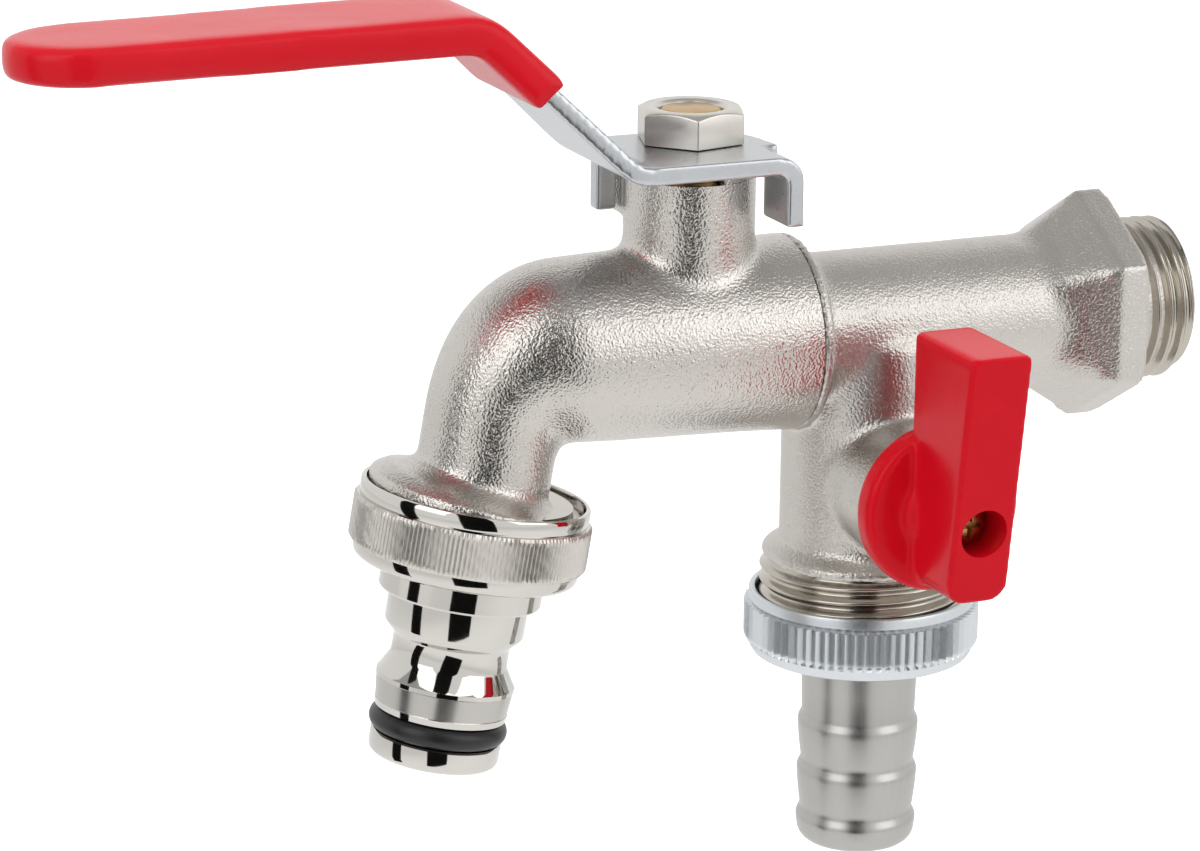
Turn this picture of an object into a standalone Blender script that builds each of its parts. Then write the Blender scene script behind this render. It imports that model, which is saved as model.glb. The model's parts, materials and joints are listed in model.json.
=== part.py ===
# Double-outlet garden tap: a lever ball valve with a quick-connector nose, and a
# second ball valve on a branch with a hose tail. Sizes below are millimetres.
# The origin is the centre of the inlet's open end, +X points out of the inlet
# into the wall, +Z is up, and the branch's handle faces -Y.
import math

import bmesh
import bpy
from mathutils import Matrix, Vector

MM = 0.001
STEPS = 28
SMALL_STEPS = 18

# Overall layout
INLET_REACH = 67.5
BRANCH_OFFSET = 25.3
BRANCH_STEM_DROP = 18.7
SPOUT_OFFSET = 25.2
SPOUT_TILT = math.radians(9.8)

# Clearances
REST_GAP = 0.3
RUN_GAP = 0.3
THREAD_GAP = 0.35

# Inlet body
INLET_THREAD_DIAMETER = 20.955
INLET_THREAD_LENGTH = 9.0
HEX_ACROSS_FLATS = 26.0
HEX_CORNER_DIAMETER = 29.6
HEX_WIDTH = 4.0
HEX_CONE_LENGTH = 6.2
PIPE_DIAMETER = 19.2
PIPE_BORE = 13.0
COLLAR_WIDTH = 2.0
COLLAR_ROUND = 0.9
STUB_DIAMETER = 20.8
STUB_BORE = 11.4

# Spout body
BODY_DIAMETER = 25.0
SEAM_OFFSET = 13.1
ELBOW_DIAMETER = 23.6
DROP_DIAMETER = 17.4
ELBOW_RADIUS = 15.0
SPOUT_BORE = 11.4
SPOUT_THREAD_DIAMETER = 26.44
SPOUT_FLARE_START = 13.2
SPOUT_FLARE_END = 16.6
SPOUT_LENGTH = 22.2
NECK_DIAMETER = 16.4
NECK_TOP = 21.4
NECK_FILLET = 4.0
STOP_LUG_HEIGHT = 6.0
STOP_LUG_REACH = 10.0
RIM_STOP_HEIGHT = 1.5

# Main ball valve
BALL_DIAMETER = 17.5
BALL_BORE = 11.0
SEAT_LENGTH = 3.0
SEAL_SECTION = 1.5
STEM_DIAMETER = 8.0
STEM_COLLAR_DIAMETER = 12.0
STEM_COLLAR_HEIGHT = 2.0
STEM_FLATS = 6.4
STEM_TOP = 29.6
TONGUE_WIDTH = 3.0
TONGUE_DEPTH = 2.2
STEM_RING_SECTION = 1.4
GLAND_DIAMETER = 12.4
GLAND_DEPTH = 5.4
PACKING_HEIGHT = 1.9

# Lever
LEVER_THICKNESS = 2.3
LEVER_UNDERSIDE = 23.2
HEAD_HALF_WIDTH = 13.5
HEAD_END = 9.3
HEAD_BEND = 12.5
ARM_ANGLE = math.radians(44.5)
GRIP_RISE = 17.6
BEND_RADIUS = 4.0
LEVER_REACH = 85.8
BLADE_DROOP = 0.9
BLADE_HALF_WIDTH = 6.6
ARM_TOP_HALF_WIDTH = 8.0
TAB_LENGTH = 6.5
TAB_WIDTH = 7.4
GRIP_WALL = 1.1
GRIP_START_RISE = 11.0
LEVER_NUT_FLATS = 12.3
LEVER_NUT_HEIGHT = 4.0

# Branch valve
BRANCH_DIAMETER = 20.7
BRANCH_TOP = 0.0
BRANCH_THREAD_DIAMETER = 26.44
BRANCH_FLARE_START = 26.4
BRANCH_FLARE_END = 28.3
BRANCH_LENGTH = 37.9
BOSS_DIAMETER = 17.4
BOSS_FACE = 17.8
BOSS_FILLET = 3.0
BRANCH_BALL_DIAMETER = 14.0
BRANCH_BALL_BORE = 8.8
BRANCH_CHAMBER = 16.8
BRANCH_SEAT_LENGTH = 3.0
RETAINER_LENGTH = 5.0
BRANCH_STEM_DIAMETER = 7.6
BRANCH_STEM_COLLAR = 9.6
BRANCH_RING_SECTION = 1.3
BRANCH_TONGUE_WIDTH = 2.6
BRANCH_TONGUE_DEPTH = 1.8
HANDLE_SQUARE = 5.0

# Branch handle
DISK_DIAMETER = 21.0
DISK_THICKNESS = 3.9
BAR_WIDTH = 8.2
BAR_TOP = 22.9
BAR_BOTTOM = 7.5
BAR_FRONT_LOW = 13.2
BAR_LEAN = math.radians(8.4)
BAR_ROUND = 0.9
BAR_FOOT_ROUND = 3.6
SCREW_RECESS_DIAMETER = 6.2
SCREW_RECESS_DEPTH = 6.0
SCREW_HEAD_DIAMETER = 5.4
SCREW_HEAD_HEIGHT = 2.0
SCREW_SHANK_DIAMETER = 2.6
SCREW_LENGTH = 9.0

# Hose union
UNION_WALL = 0.95
UNION_KNURL_RISE = 0.5
UNION_COLLAR = 1.6
UNION_KNURL = 5.2
UNION_LIP = 1.3
UNION_ENGAGEMENT = 3.0
TAIL_FLANGE_DIAMETER = 25.4
TAIL_FLANGE = 1.5
TAIL_NECK_DIAMETER = 15.3
TAIL_WAIST_DIAMETER = 14.4
BARB_DIAMETER = 15.5
FIRST_BARB = 52.9
BARB_PITCH = 6.5
BARB_STEP = 1.4
BARB_COUNT = 3
TAIL_LAND = 2.9
TAIL_NOSE = 1.5
TAIL_BORE = 10.2
GASKET_THICKNESS = 1.6
GASKET_DIAMETER = 25.4

# Quick connector
CONNECTOR_WALL = 0.75
CONNECTOR_KNURL_RISE = 0.5
CONNECTOR_TOP = 16.7
CONNECTOR_COLLAR = 2.0
CONNECTOR_KNURL = 5.8
CONNECTOR_FOOT = 2.0
STEP_DIAMETER = 20.3
STEP_END = 30.1
SHOULDER_DIAMETER = 17.4
SHOULDER_END = 34.2
GROOVE_DIAMETER = 14.6
GROOVE_START = 35.5
GROOVE_END = 38.4
FLANGE_DIAMETER = 17.3
FLANGE_START = 40.6
FLANGE_END = 45.1
NOSE_RING_DIAMETER = 17.4
NOSE_RING_SECTION = 2.6
NOSE_DIAMETER = 16.4
NOSE_END = 51.1
CONNECTOR_BORE = 9.6

STEM_X = -INLET_REACH
BRANCH_X = STEM_X + BRANCH_OFFSET
SPOUT_X = STEM_X - SPOUT_OFFSET


def clear_scene():
    for obj in list(bpy.data.objects):
        bpy.data.objects.remove(obj, do_unlink=True)


def material(name, colour, roughness, metallic):
    made = bpy.data.materials.new(name)
    made.use_nodes = True
    shader = made.node_tree.nodes["Principled BSDF"]
    shader.inputs["Base Color"].default_value = (*colour, 1.0)
    shader.inputs["Roughness"].default_value = roughness
    shader.inputs["Metallic"].default_value = metallic
    made.diffuse_color = (*colour, 1.0)
    return made


def pivot(name, place, turn=(0.0, 0.0, 0.0)):
    empty = bpy.data.objects.new(name, None)
    empty.location = Vector(place) * MM
    empty.rotation_euler = turn
    bpy.context.scene.collection.objects.link(empty)
    return empty


def solid(name, mesh, finish, parent=None, place=(0.0, 0.0, 0.0), turn=(0.0, 0.0, 0.0)):
    """An object from a mesh in millimetres, placed by its own location and rotation."""
    bmesh.ops.remove_doubles(mesh, verts=mesh.verts, dist=1e-5)
    bmesh.ops.recalc_face_normals(mesh, faces=mesh.faces)
    bmesh.ops.scale(mesh, vec=(MM, MM, MM), verts=mesh.verts)
    data = bpy.data.meshes.new(name)
    mesh.to_mesh(data)
    mesh.free()
    data.shade_smooth()
    data.set_sharp_from_angle(angle=math.radians(35))
    obj = bpy.data.objects.new(name, data)
    obj.location = Vector(place) * MM
    obj.rotation_euler = turn
    obj.parent = parent
    bpy.context.scene.collection.objects.link(obj)
    if finish:
        data.materials.append(finish)
    return obj


def helper(name, mesh, parent=None, place=(0.0, 0.0, 0.0), turn=(0.0, 0.0, 0.0)):
    """A cutter or a shape to be joined, which is no piece by itself."""
    obj = solid(name, mesh, None, parent, place, turn)
    obj.hide_render = True
    obj.display_type = "WIRE"
    return obj


def combine(obj, other, operation):
    step = obj.modifiers.new(other.name, "BOOLEAN")
    step.operation = operation
    step.object = other
    step.solver = "EXACT"


def cut(obj, *cutters):
    for cutter in cutters:
        combine(obj, cutter, "DIFFERENCE")


def join(obj, *others):
    for other in others:
        combine(obj, other, "UNION")


def turned(outline, steps=STEPS):
    """Spins an outline of (radius, height) about Z, closing one that starts off the axis to a ring."""
    mesh = bmesh.new()
    verts = [mesh.verts.new((radius, 0.0, height)) for radius, height in outline]
    edges = [mesh.edges.new(pair) for pair in zip(verts, verts[1:])]
    if outline[0][0] > 0:
        edges.append(mesh.edges.new((verts[-1], verts[0])))
    axis = Vector((0, 0, 1))
    bmesh.ops.spin(
        mesh, geom=verts + edges, cent=(0, 0, 0), axis=axis, angle=math.tau, steps=steps, use_merge=True
    )
    bmesh.ops.remove_doubles(mesh, verts=mesh.verts, dist=1e-5)
    return mesh


def rod(radius, low, high, steps=STEPS):
    return turned([(0, low), (radius, low), (radius, high), (0, high)], steps)


def off_line(mesh, angle=0.05):
    """Turns a round cutter a little about Z, so that no corner of it lies on a corner of what it cuts."""
    bmesh.ops.rotate(mesh, cent=(0, 0, 0), matrix=Matrix.Rotation(angle, 3, "Z"), verts=mesh.verts)
    return mesh


def ring(inner, outer, low, high, steps=STEPS):
    return turned([(inner, low), (outer, low), (outer, high), (inner, high)], steps)


def o_ring(middle, section, height, points=6, steps=SMALL_STEPS):
    """A round-section ring about Z."""
    angles = [math.tau * i / points for i in range(points)]
    outline = [(middle + section / 2 * math.cos(a), height + section / 2 * math.sin(a)) for a in angles]
    return turned(outline, steps)


def block(low, high):
    mesh = bmesh.new()
    bmesh.ops.create_cube(mesh, size=1.0)
    size = [b - a for a, b in zip(low, high)]
    middle = [(a + b) / 2 for a, b in zip(low, high)]
    bmesh.ops.scale(mesh, vec=size, verts=mesh.verts)
    bmesh.ops.translate(mesh, vec=middle, verts=mesh.verts)
    return mesh


def prism(outline, low, high):
    """Extrudes an outline of (x, y) along Z."""
    mesh = bmesh.new()
    face = mesh.faces.new([mesh.verts.new((x, y, low)) for x, y in outline])
    raised = bmesh.ops.extrude_face_region(mesh, geom=[face])
    verts = [item for item in raised["geom"] if isinstance(item, bmesh.types.BMVert)]
    bmesh.ops.translate(mesh, vec=(0, 0, high - low), verts=verts)
    return mesh


def arc(centre, radius, start, end, points):
    """Points on an arc, its angles in degrees."""
    angles = [math.radians(start + (end - start) * i / (points - 1)) for i in range(points)]
    return [(centre[0] + radius * math.cos(a), centre[1] + radius * math.sin(a)) for a in angles]


def hexagon(across_flats, first_corner=0.0):
    radius = across_flats / math.sqrt(3)
    angles = [first_corner + math.tau * i / 6 for i in range(6)]
    return [(radius * math.cos(a), radius * math.sin(a)) for a in angles]


def swept(stations, steps=STEPS):
    """A round tube through stations of (centre, direction, radius) that lie in the XZ plane."""
    mesh = bmesh.new()
    loops = []
    for centre, along, radius in stations:
        side = Vector((0, 1, 0))
        up = Vector(along).normalized().cross(side)
        loops.append(
            [
                mesh.verts.new(
                    Vector(centre)
                    + radius * (math.cos(math.tau * i / steps) * side + math.sin(math.tau * i / steps) * up)
                )
                for i in range(steps)
            ]
        )
    for lower, upper in zip(loops, loops[1:]):
        for i in range(steps):
            j = (i + 1) % steps
            mesh.faces.new((lower[i], lower[j], upper[j], upper[i]))
    mesh.faces.new(loops[0])
    mesh.faces.new(loops[-1])
    return mesh


def spout_path(end):
    """Centres and directions from the seam, round the elbow, to a distance down the spout."""
    turn = math.pi / 2 - SPOUT_TILT
    reach = ELBOW_RADIUS * math.tan(turn / 2)
    middle = Vector((STEM_X - SPOUT_OFFSET + reach, 0, -ELBOW_RADIUS))
    path = []
    elbow_steps = 9
    for i in range(elbow_steps + 1):
        angle = turn * i / elbow_steps
        centre = middle + ELBOW_RADIUS * Vector((-math.sin(angle), 0, math.cos(angle)))
        path.append((centre, Vector((-math.cos(angle), 0, -math.sin(angle))), i / elbow_steps))
    down = Vector((-math.sin(SPOUT_TILT), 0, -math.cos(SPOUT_TILT)))
    for distance in end:
        path.append((Vector((SPOUT_X, 0, 0)) + distance * down, down, 1.0))
    return path


def mixed(a, b, share):
    return a + (b - a) * share


def smooth(share):
    return share * share * (3 - 2 * share)


clear_scene()

nickel = material("satin nickel", (0.60, 0.57, 0.53), 0.38, 1.0)
chrome = material("polished nickel", (0.72, 0.70, 0.66), 0.12, 1.0)
zinc = material("zinc plate", (0.66, 0.69, 0.72), 0.34, 1.0)
brass = material("raw brass", (0.70, 0.52, 0.24), 0.35, 1.0)
steel = material("zinc plated steel", (0.62, 0.63, 0.64), 0.4, 1.0)
red_vinyl = material("red vinyl", (0.62, 0.02, 0.03), 0.25, 0.0)
red_paint = material("red paint", (0.56, 0.015, 0.02), 0.18, 0.0)
rubber = material("black rubber", (0.02, 0.02, 0.02), 0.5, 0.0)
seat_white = material("white seat plastic", (0.85, 0.85, 0.82), 0.5, 0.0)

ALONG_X = (0.0, math.pi / 2, 0.0)
TOWARDS_FRONT = (math.pi / 2, 0.0, 0.0)
DOWN = (math.pi, 0.0, 0.0)
DOWN_SPOUT = (0.0, math.pi + SPOUT_TILT, 0.0)

stem_pivot = pivot("stem_pivot", (STEM_X, 0, 0))
branch_pivot = pivot("branch_pivot", (BRANCH_X, 0, 0))
handle_pivot = pivot("handle_pivot", (BRANCH_X, 0, -BRANCH_STEM_DROP))
spout_pivot = pivot("spout_pivot", (SPOUT_X, 0, 0), DOWN_SPOUT)

# Ball chamber sizes that several pieces share
ball_radius = BALL_DIAMETER / 2
seat_touch = (ball_radius + RUN_GAP) * math.sqrt(2)
chamber_radius = STUB_DIAMETER / 2 + REST_GAP
seat_radius = STUB_DIAMETER / 2
seat_mouth = STEM_COLLAR_DIAMETER / 2 + RUN_GAP
seat_end = seat_mouth + SEAT_LENGTH
chamber_end = seat_end + REST_GAP
collar_start = SEAM_OFFSET + REST_GAP
gland_floor = NECK_TOP - GLAND_DEPTH
stem_collar_low = ball_radius + RUN_GAP
stem_collar_high = stem_collar_low + STEM_COLLAR_HEIGHT
nut_base = LEVER_UNDERSIDE + LEVER_THICKNESS + REST_GAP
tab_inside = HEAD_END - LEVER_THICKNESS + 0.2
tab_edge = HEAD_HALF_WIDTH - TAB_WIDTH


def ball(name, diameter, bore, parent, turn, slot_low, slot_high):
    """A ball drilled along its own Z, with a slot for its stem between two corners."""
    radius = diameter / 2
    reach = math.sqrt(radius ** 2 - (bore / 2) ** 2)
    side = math.degrees(math.atan2(reach, bore / 2))
    outline = arc((0, 0), radius, -side, side, 9)
    piece = solid(name, turned(outline, SMALL_STEPS), chrome, parent, turn=turn)
    cut(piece, helper(name + "_slot", block(slot_low, slot_high), parent))


def build_spout_body():
    chamber_wall_end = STEM_X + SEAM_OFFSET
    elbow = spout_path([SPOUT_FLARE_START, SPOUT_FLARE_END, SPOUT_LENGTH - 0.9, SPOUT_LENGTH])
    after = [
        DROP_DIAMETER / 2,
        SPOUT_THREAD_DIAMETER / 2 - 0.2,
        SPOUT_THREAD_DIAMETER / 2 - 0.2,
        SPOUT_THREAD_DIAMETER / 2 - 1.1,
    ]
    stations = [(Vector((chamber_wall_end, 0, 0)), Vector((-1, 0, 0)), BODY_DIAMETER / 2)]
    stations.append((Vector((STEM_X - 6, 0, 0)), Vector((-1, 0, 0)), BODY_DIAMETER / 2))
    stations += [
        (centre, along, mixed(ELBOW_DIAMETER, DROP_DIAMETER, smooth(share)) / 2)
        for centre, along, share in elbow[:-4]
    ]
    stations += [(centre, along, radius) for (centre, along, _), radius in zip(elbow[-4:], after)]
    # Concave flare from the drop to the threaded end
    flare = []
    down = elbow[-1][1]
    for i in range(1, 5):
        share = i / 5
        distance = mixed(SPOUT_FLARE_START, SPOUT_FLARE_END, share)
        radius = mixed(DROP_DIAMETER / 2, SPOUT_THREAD_DIAMETER / 2 - 0.2, share ** 2.2)
        flare.append((Vector((SPOUT_X, 0, 0)) + distance * down, down, radius))
    stations[-3:-3] = flare
    body = solid("spout_body", swept(stations), nickel)

    neck_radius = NECK_DIAMETER / 2
    foot = BODY_DIAMETER / 2 - 3.2
    neck = turned(
        [(0, 2.0), (neck_radius + NECK_FILLET, 2.0), (neck_radius + NECK_FILLET, foot)]
        + arc((neck_radius + NECK_FILLET, foot + NECK_FILLET), NECK_FILLET, 270, 180, 6)[1:]
        + [(neck_radius, NECK_TOP), (0, NECK_TOP)]
    )
    # Lug behind the neck that stops the lever's tabs, and the raised rim on the neck's top
    lug = block(
        (-tab_inside + REST_GAP, neck_radius / 2, NECK_TOP - STOP_LUG_HEIGHT),
        (tab_edge - REST_GAP, STOP_LUG_REACH, NECK_TOP - 0.6),
    )
    rim_inner = GLAND_DIAMETER / 2 + REST_GAP
    rim = arc((0, 0), neck_radius, -62, 38, 9) + arc((0, 0), rim_inner, 38, -62, 9)
    join(
        body,
        helper("neck_shape", neck, stem_pivot),
        helper("stop_lug_shape", lug, stem_pivot),
        helper("rim_stop_shape", prism(rim, NECK_TOP - 1.0, NECK_TOP + RIM_STOP_HEIGHT), stem_pivot),
    )

    chamber = off_line(rod(chamber_radius, -chamber_end, SEAM_OFFSET + 1))
    bore_path = spout_path([SPOUT_FLARE_END, SPOUT_LENGTH + 1])
    bore_path.insert(0, (Vector((STEM_X - chamber_end + 2, 0, 0)), Vector((-1, 0, 0)), 0))
    waterway = swept([(centre, along, SPOUT_BORE / 2) for centre, along, _ in bore_path], SMALL_STEPS)
    stem_hole = turned(
        [
            (0, 4.0),
            (STEM_COLLAR_DIAMETER / 2 + RUN_GAP, 4.0),
            (STEM_COLLAR_DIAMETER / 2 + RUN_GAP, stem_collar_high + RUN_GAP),
            (STEM_DIAMETER / 2 + RUN_GAP, stem_collar_high + RUN_GAP),
            (STEM_DIAMETER / 2 + RUN_GAP, gland_floor),
            (GLAND_DIAMETER / 2 + REST_GAP, gland_floor),
            (GLAND_DIAMETER / 2 + REST_GAP, NECK_TOP + RIM_STOP_HEIGHT + 1),
            (0, NECK_TOP + RIM_STOP_HEIGHT + 1),
        ],
        SMALL_STEPS,
    )
    cut(
        body,
        helper("ball_chamber", chamber, stem_pivot, turn=ALONG_X),
        helper("spout_waterway", waterway),
        helper("stem_hole", off_line(stem_hole), stem_pivot),
    )


def build_inlet_body():
    thread_radius = INLET_THREAD_DIAMETER / 2
    hex_end = -INLET_THREAD_LENGTH
    hex_start = hex_end - HEX_WIDTH
    cone_start = hex_start - HEX_CONE_LENGTH
    collar_low = STEM_X + collar_start
    collar_high = collar_low + COLLAR_WIDTH
    stub_start = STEM_X + chamber_end
    groove_middle = mixed(stub_start, collar_low, 0.5)
    groove_half = SEAL_SECTION / 2 + REST_GAP
    groove_floor = STUB_DIAMETER / 2 - SEAL_SECTION - REST_GAP
    pipe_radius = PIPE_DIAMETER / 2
    outline = [
        (0, stub_start),
        (STUB_DIAMETER / 2, stub_start),
        (STUB_DIAMETER / 2, groove_middle - groove_half),
        (groove_floor, groove_middle - groove_half),
        (groove_floor, groove_middle + groove_half),
        (STUB_DIAMETER / 2, groove_middle + groove_half),
        (STUB_DIAMETER / 2, collar_low),
        (BODY_DIAMETER / 2, collar_low),
    ]
    outline += arc((BODY_DIAMETER / 2 - COLLAR_ROUND, collar_high - COLLAR_ROUND), COLLAR_ROUND, 0, 90, 4)
    outline += [
        (pipe_radius + 0.6, collar_high),
        (pipe_radius, collar_high + 0.8),
        (pipe_radius, cone_start - 1.2),
        (pipe_radius + 0.5, cone_start),
        (HEX_CORNER_DIAMETER / 2, hex_start),
        (HEX_CORNER_DIAMETER / 2, hex_end - 0.8),
        (HEX_CORNER_DIAMETER / 2 - 1.0, hex_end),
        (thread_radius - 1.0, hex_end),
        (thread_radius - 1.0, hex_end + 1.2),
        (thread_radius, hex_end + 1.8),
        (thread_radius, -1.0),
        (thread_radius - 1.0, 0.0),
        (0, 0.0),
    ]
    body = solid("inlet_body", turned(outline), nickel, turn=ALONG_X)
    # The hexagon is what six flats leave of the turned collar
    corners = hexagon(HEX_ACROSS_FLATS)
    ring_outer = [(2.0 * x, 2.0 * y) for x, y in corners]
    for i in range(6):
        j = (i + 1) % 6
        flat = prism([corners[i], ring_outer[i], ring_outer[j], corners[j]], cone_start - 2, hex_end + 0.4)
        cut(body, helper(f"hex_flat_{i}", flat, turn=ALONG_X))

    branch_radius = BRANCH_DIAMETER / 2
    thread = BRANCH_THREAD_DIAMETER / 2
    branch = turned(
        [(0, -BRANCH_TOP), (branch_radius - 1.0, -BRANCH_TOP), (branch_radius, -BRANCH_TOP + 1.0)]
        + [(branch_radius, BRANCH_FLARE_START), (thread - 0.2, BRANCH_FLARE_END)]
        + [(thread - 0.2, BRANCH_FLARE_END + 1.0), (thread - 0.9, BRANCH_FLARE_END + 1.0)]
        + [(thread - 0.9, BRANCH_FLARE_END + 1.7), (thread, BRANCH_FLARE_END + 2.3)]
        + [(thread, BRANCH_LENGTH - 1.0), (thread - 1.0, BRANCH_LENGTH), (0, BRANCH_LENGTH)]
    )
    boss_radius = BOSS_DIAMETER / 2
    root = branch_radius - 2.4
    boss = turned(
        [(0, 1.0), (boss_radius + BOSS_FILLET, 1.0), (boss_radius + BOSS_FILLET, root)]
        + arc((boss_radius + BOSS_FILLET, root + BOSS_FILLET), BOSS_FILLET, 270, 180, 5)[1:]
        + [(boss_radius, BOSS_FACE - 0.6), (boss_radius - 0.6, BOSS_FACE), (0, BOSS_FACE)]
    )
    boss_shape = helper("boss_shape", boss, handle_pivot, turn=TOWARDS_FRONT)
    join(body, helper("branch_shape", branch, branch_pivot, turn=DOWN), boss_shape)

    stem_radius = BRANCH_STEM_DIAMETER / 2 + RUN_GAP
    chamber_low = BRANCH_STEM_DROP - branch_seat_end - REST_GAP
    chamber = turned(
        [
            (0, -2.0),
            (BRANCH_BALL_BORE / 2, -2.0),
            (BRANCH_BALL_BORE / 2, chamber_low),
            (BRANCH_CHAMBER / 2, chamber_low),
            (BRANCH_CHAMBER / 2, BRANCH_LENGTH + 1),
            (0, BRANCH_LENGTH + 1),
        ]
    )
    collar_end = branch_collar_high + RUN_GAP
    stem_hole = turned(
        [
            (0, 0),
            (BRANCH_STEM_COLLAR / 2 + RUN_GAP, 0),
            (BRANCH_STEM_COLLAR / 2 + RUN_GAP, collar_end),
            (stem_radius, collar_end),
            (stem_radius, BOSS_FACE + 1),
            (0, BOSS_FACE + 1),
        ],
        SMALL_STEPS,
    )
    stub_end = stub_start + 2.0
    bore = turned(
        [(0, stub_start - 1), (STUB_BORE / 2, stub_start - 1), (STUB_BORE / 2, stub_end)]
        + [(PIPE_BORE / 2, stub_end), (PIPE_BORE / 2, 1.0), (0, 1.0)]
    )
    cut(
        body,
        helper("pipe_bore", off_line(bore), turn=ALONG_X),
        helper("branch_chamber", off_line(chamber), branch_pivot, turn=DOWN),
        helper("branch_stem_hole", off_line(stem_hole), handle_pivot, turn=TOWARDS_FRONT),
    )
    seal = o_ring(STUB_DIAMETER / 2 - SEAL_SECTION / 2 - 0.05, SEAL_SECTION, groove_middle)
    solid("body_seal", seal, rubber, turn=ALONG_X)


def build_main_valve():
    for name, way in (("main_seat_inlet", 1), ("main_seat_outlet", -1)):
        outline = [
            (BALL_BORE / 2 + 0.1, seat_end),
            (BALL_BORE / 2 + 0.1, seat_touch - BALL_BORE / 2 - 0.1),
            (seat_touch - seat_mouth, seat_mouth),
            (seat_radius, seat_mouth),
            (seat_radius, seat_end),
        ]
        seat = turned([(r, way * z) for r, z in outline], SMALL_STEPS)
        solid(name, seat, seat_white, stem_pivot, turn=ALONG_X)
    slot_low = ball_radius - TONGUE_DEPTH - RUN_GAP
    slot_half = TONGUE_WIDTH / 2 + RUN_GAP
    ball(
        "main_ball",
        BALL_DIAMETER,
        BALL_BORE,
        stem_pivot,
        ALONG_X,
        (-ball_radius, -slot_half, slot_low),
        (ball_radius, slot_half, ball_radius + 1),
    )
    stem_radius = STEM_DIAMETER / 2
    ring_height = mixed(stem_collar_high, gland_floor, 0.5)
    ring_half = STEM_RING_SECTION / 2 + 0.15
    ring_floor = stem_radius - STEM_RING_SECTION
    stem = turned(
        [(0, stem_collar_low), (STEM_COLLAR_DIAMETER / 2, stem_collar_low)]
        + [(STEM_COLLAR_DIAMETER / 2, stem_collar_high), (stem_radius, stem_collar_high)]
        + [(stem_radius, ring_height - ring_half), (ring_floor - 0.15, ring_height - ring_half)]
        + [(ring_floor - 0.15, ring_height + ring_half), (stem_radius, ring_height + ring_half)]
        + [(stem_radius, STEM_TOP - 0.7), (stem_radius - 0.7, STEM_TOP), (0, STEM_TOP)],
        SMALL_STEPS,
    )
    piece = solid("main_stem", stem, brass, stem_pivot)
    tongue_reach = STEM_COLLAR_DIAMETER / 2 - 1.2
    tongue = block(
        (-tongue_reach, -TONGUE_WIDTH / 2, ball_radius - TONGUE_DEPTH),
        (tongue_reach, TONGUE_WIDTH / 2, stem_collar_low + 0.6),
    )
    join(piece, helper("stem_tongue", tongue, stem_pivot))
    flats_low = LEVER_UNDERSIDE - 0.9
    for side in (-1, 1):
        near, far = sorted((side * STEM_FLATS / 2, side * STEM_DIAMETER))
        flat = block((-STEM_DIAMETER, near, flats_low), (STEM_DIAMETER, far, STEM_TOP + 1))
        cut(piece, helper(f"stem_flat_{side}", flat, stem_pivot))
    o_middle = ring_floor + STEM_RING_SECTION / 2 + 0.05
    solid("stem_o_ring", o_ring(o_middle, STEM_RING_SECTION - 0.1, ring_height), rubber, stem_pivot)

    inner = stem_radius + RUN_GAP
    packing_low = gland_floor + REST_GAP
    gland_low = packing_low + PACKING_HEIGHT + REST_GAP
    gland_high = LEVER_UNDERSIDE - 1.0
    packing = ring(inner, GLAND_DIAMETER / 2, packing_low, packing_low + PACKING_HEIGHT, SMALL_STEPS)
    solid("stem_packing", packing, seat_white, stem_pivot)
    gland = turned(
        [(inner, gland_low), (GLAND_DIAMETER / 2, gland_low), (GLAND_DIAMETER / 2, NECK_TOP)]
        + [(GLAND_DIAMETER / 2 - 0.5, gland_high), (inner, gland_high)],
        SMALL_STEPS,
    )
    piece = solid("gland_nut", gland, brass, stem_pivot)
    # Two slots across its top take a pin spanner
    slot = block((-GLAND_DIAMETER, -0.7, gland_high - 0.9), (GLAND_DIAMETER, 0.7, gland_high + 1))
    cut(piece, helper("gland_slot", slot, stem_pivot))


def lever_line():
    """Middle line of the lever's sheet as (x, z, direction), from the head's end to the tip."""
    middle = LEVER_UNDERSIDE + LEVER_THICKNESS / 2
    reach = BEND_RADIUS * math.tan(ARM_ANGLE / 2)
    run = GRIP_RISE / math.tan(ARM_ANGLE)
    first = (-HEAD_BEND, middle)
    second = (-HEAD_BEND - run, middle + GRIP_RISE)
    line = [(HEAD_END, middle, 0.0), (-HEAD_END, middle, 0.0)]
    bend_steps = 4
    for i in range(bend_steps + 1):
        angle = ARM_ANGLE * i / bend_steps
        line.append(
            (
                first[0] + reach - BEND_RADIUS * math.sin(angle),
                first[1] + BEND_RADIUS * (1 - math.cos(angle)),
                angle,
            )
        )
    for i in range(bend_steps + 1):
        angle = ARM_ANGLE * (1 - i / bend_steps)
        line.append(
            (
                second[0] - reach + BEND_RADIUS * math.sin(angle),
                second[1] - BEND_RADIUS * (1 - math.cos(angle)),
                angle,
            )
        )
    line.append((-LEVER_REACH + BLADE_HALF_WIDTH, second[1] - BLADE_DROOP, 0.0))
    return line


def strip(line, widths, thickness):
    """A bent strip: each station has a place, a direction and its half width."""
    mesh = bmesh.new()
    loops = []
    for (x, z, angle), half in zip(line, widths):
        normal = Vector((math.sin(angle), 0, math.cos(angle))) * thickness / 2
        centre = Vector((x, 0, z))
        side = Vector((0, half, 0))
        corners = (-side - normal, side - normal, side + normal, normal - side)
        loops.append([mesh.verts.new(centre + corner) for corner in corners])
    for lower, upper in zip(loops, loops[1:]):
        for i in range(4):
            j = (i + 1) % 4
            mesh.faces.new((lower[i], lower[j], upper[j], upper[i]))
    mesh.faces.new(loops[0])
    mesh.faces.new(loops[-1])
    return mesh


def lever_widths(line, extra=0.0):
    """Half widths: full at the head, drawn in along the arm, slim on the blade."""
    top = line[-2][1]
    low = line[0][1]
    widths = []
    for x, z, _ in line:
        rise = (z - low) / (top - low)
        widths.append(mixed(HEAD_HALF_WIDTH, ARM_TOP_HALF_WIDTH, rise) + extra)
    widths[-1] = BLADE_HALF_WIDTH + extra
    return widths


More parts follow.
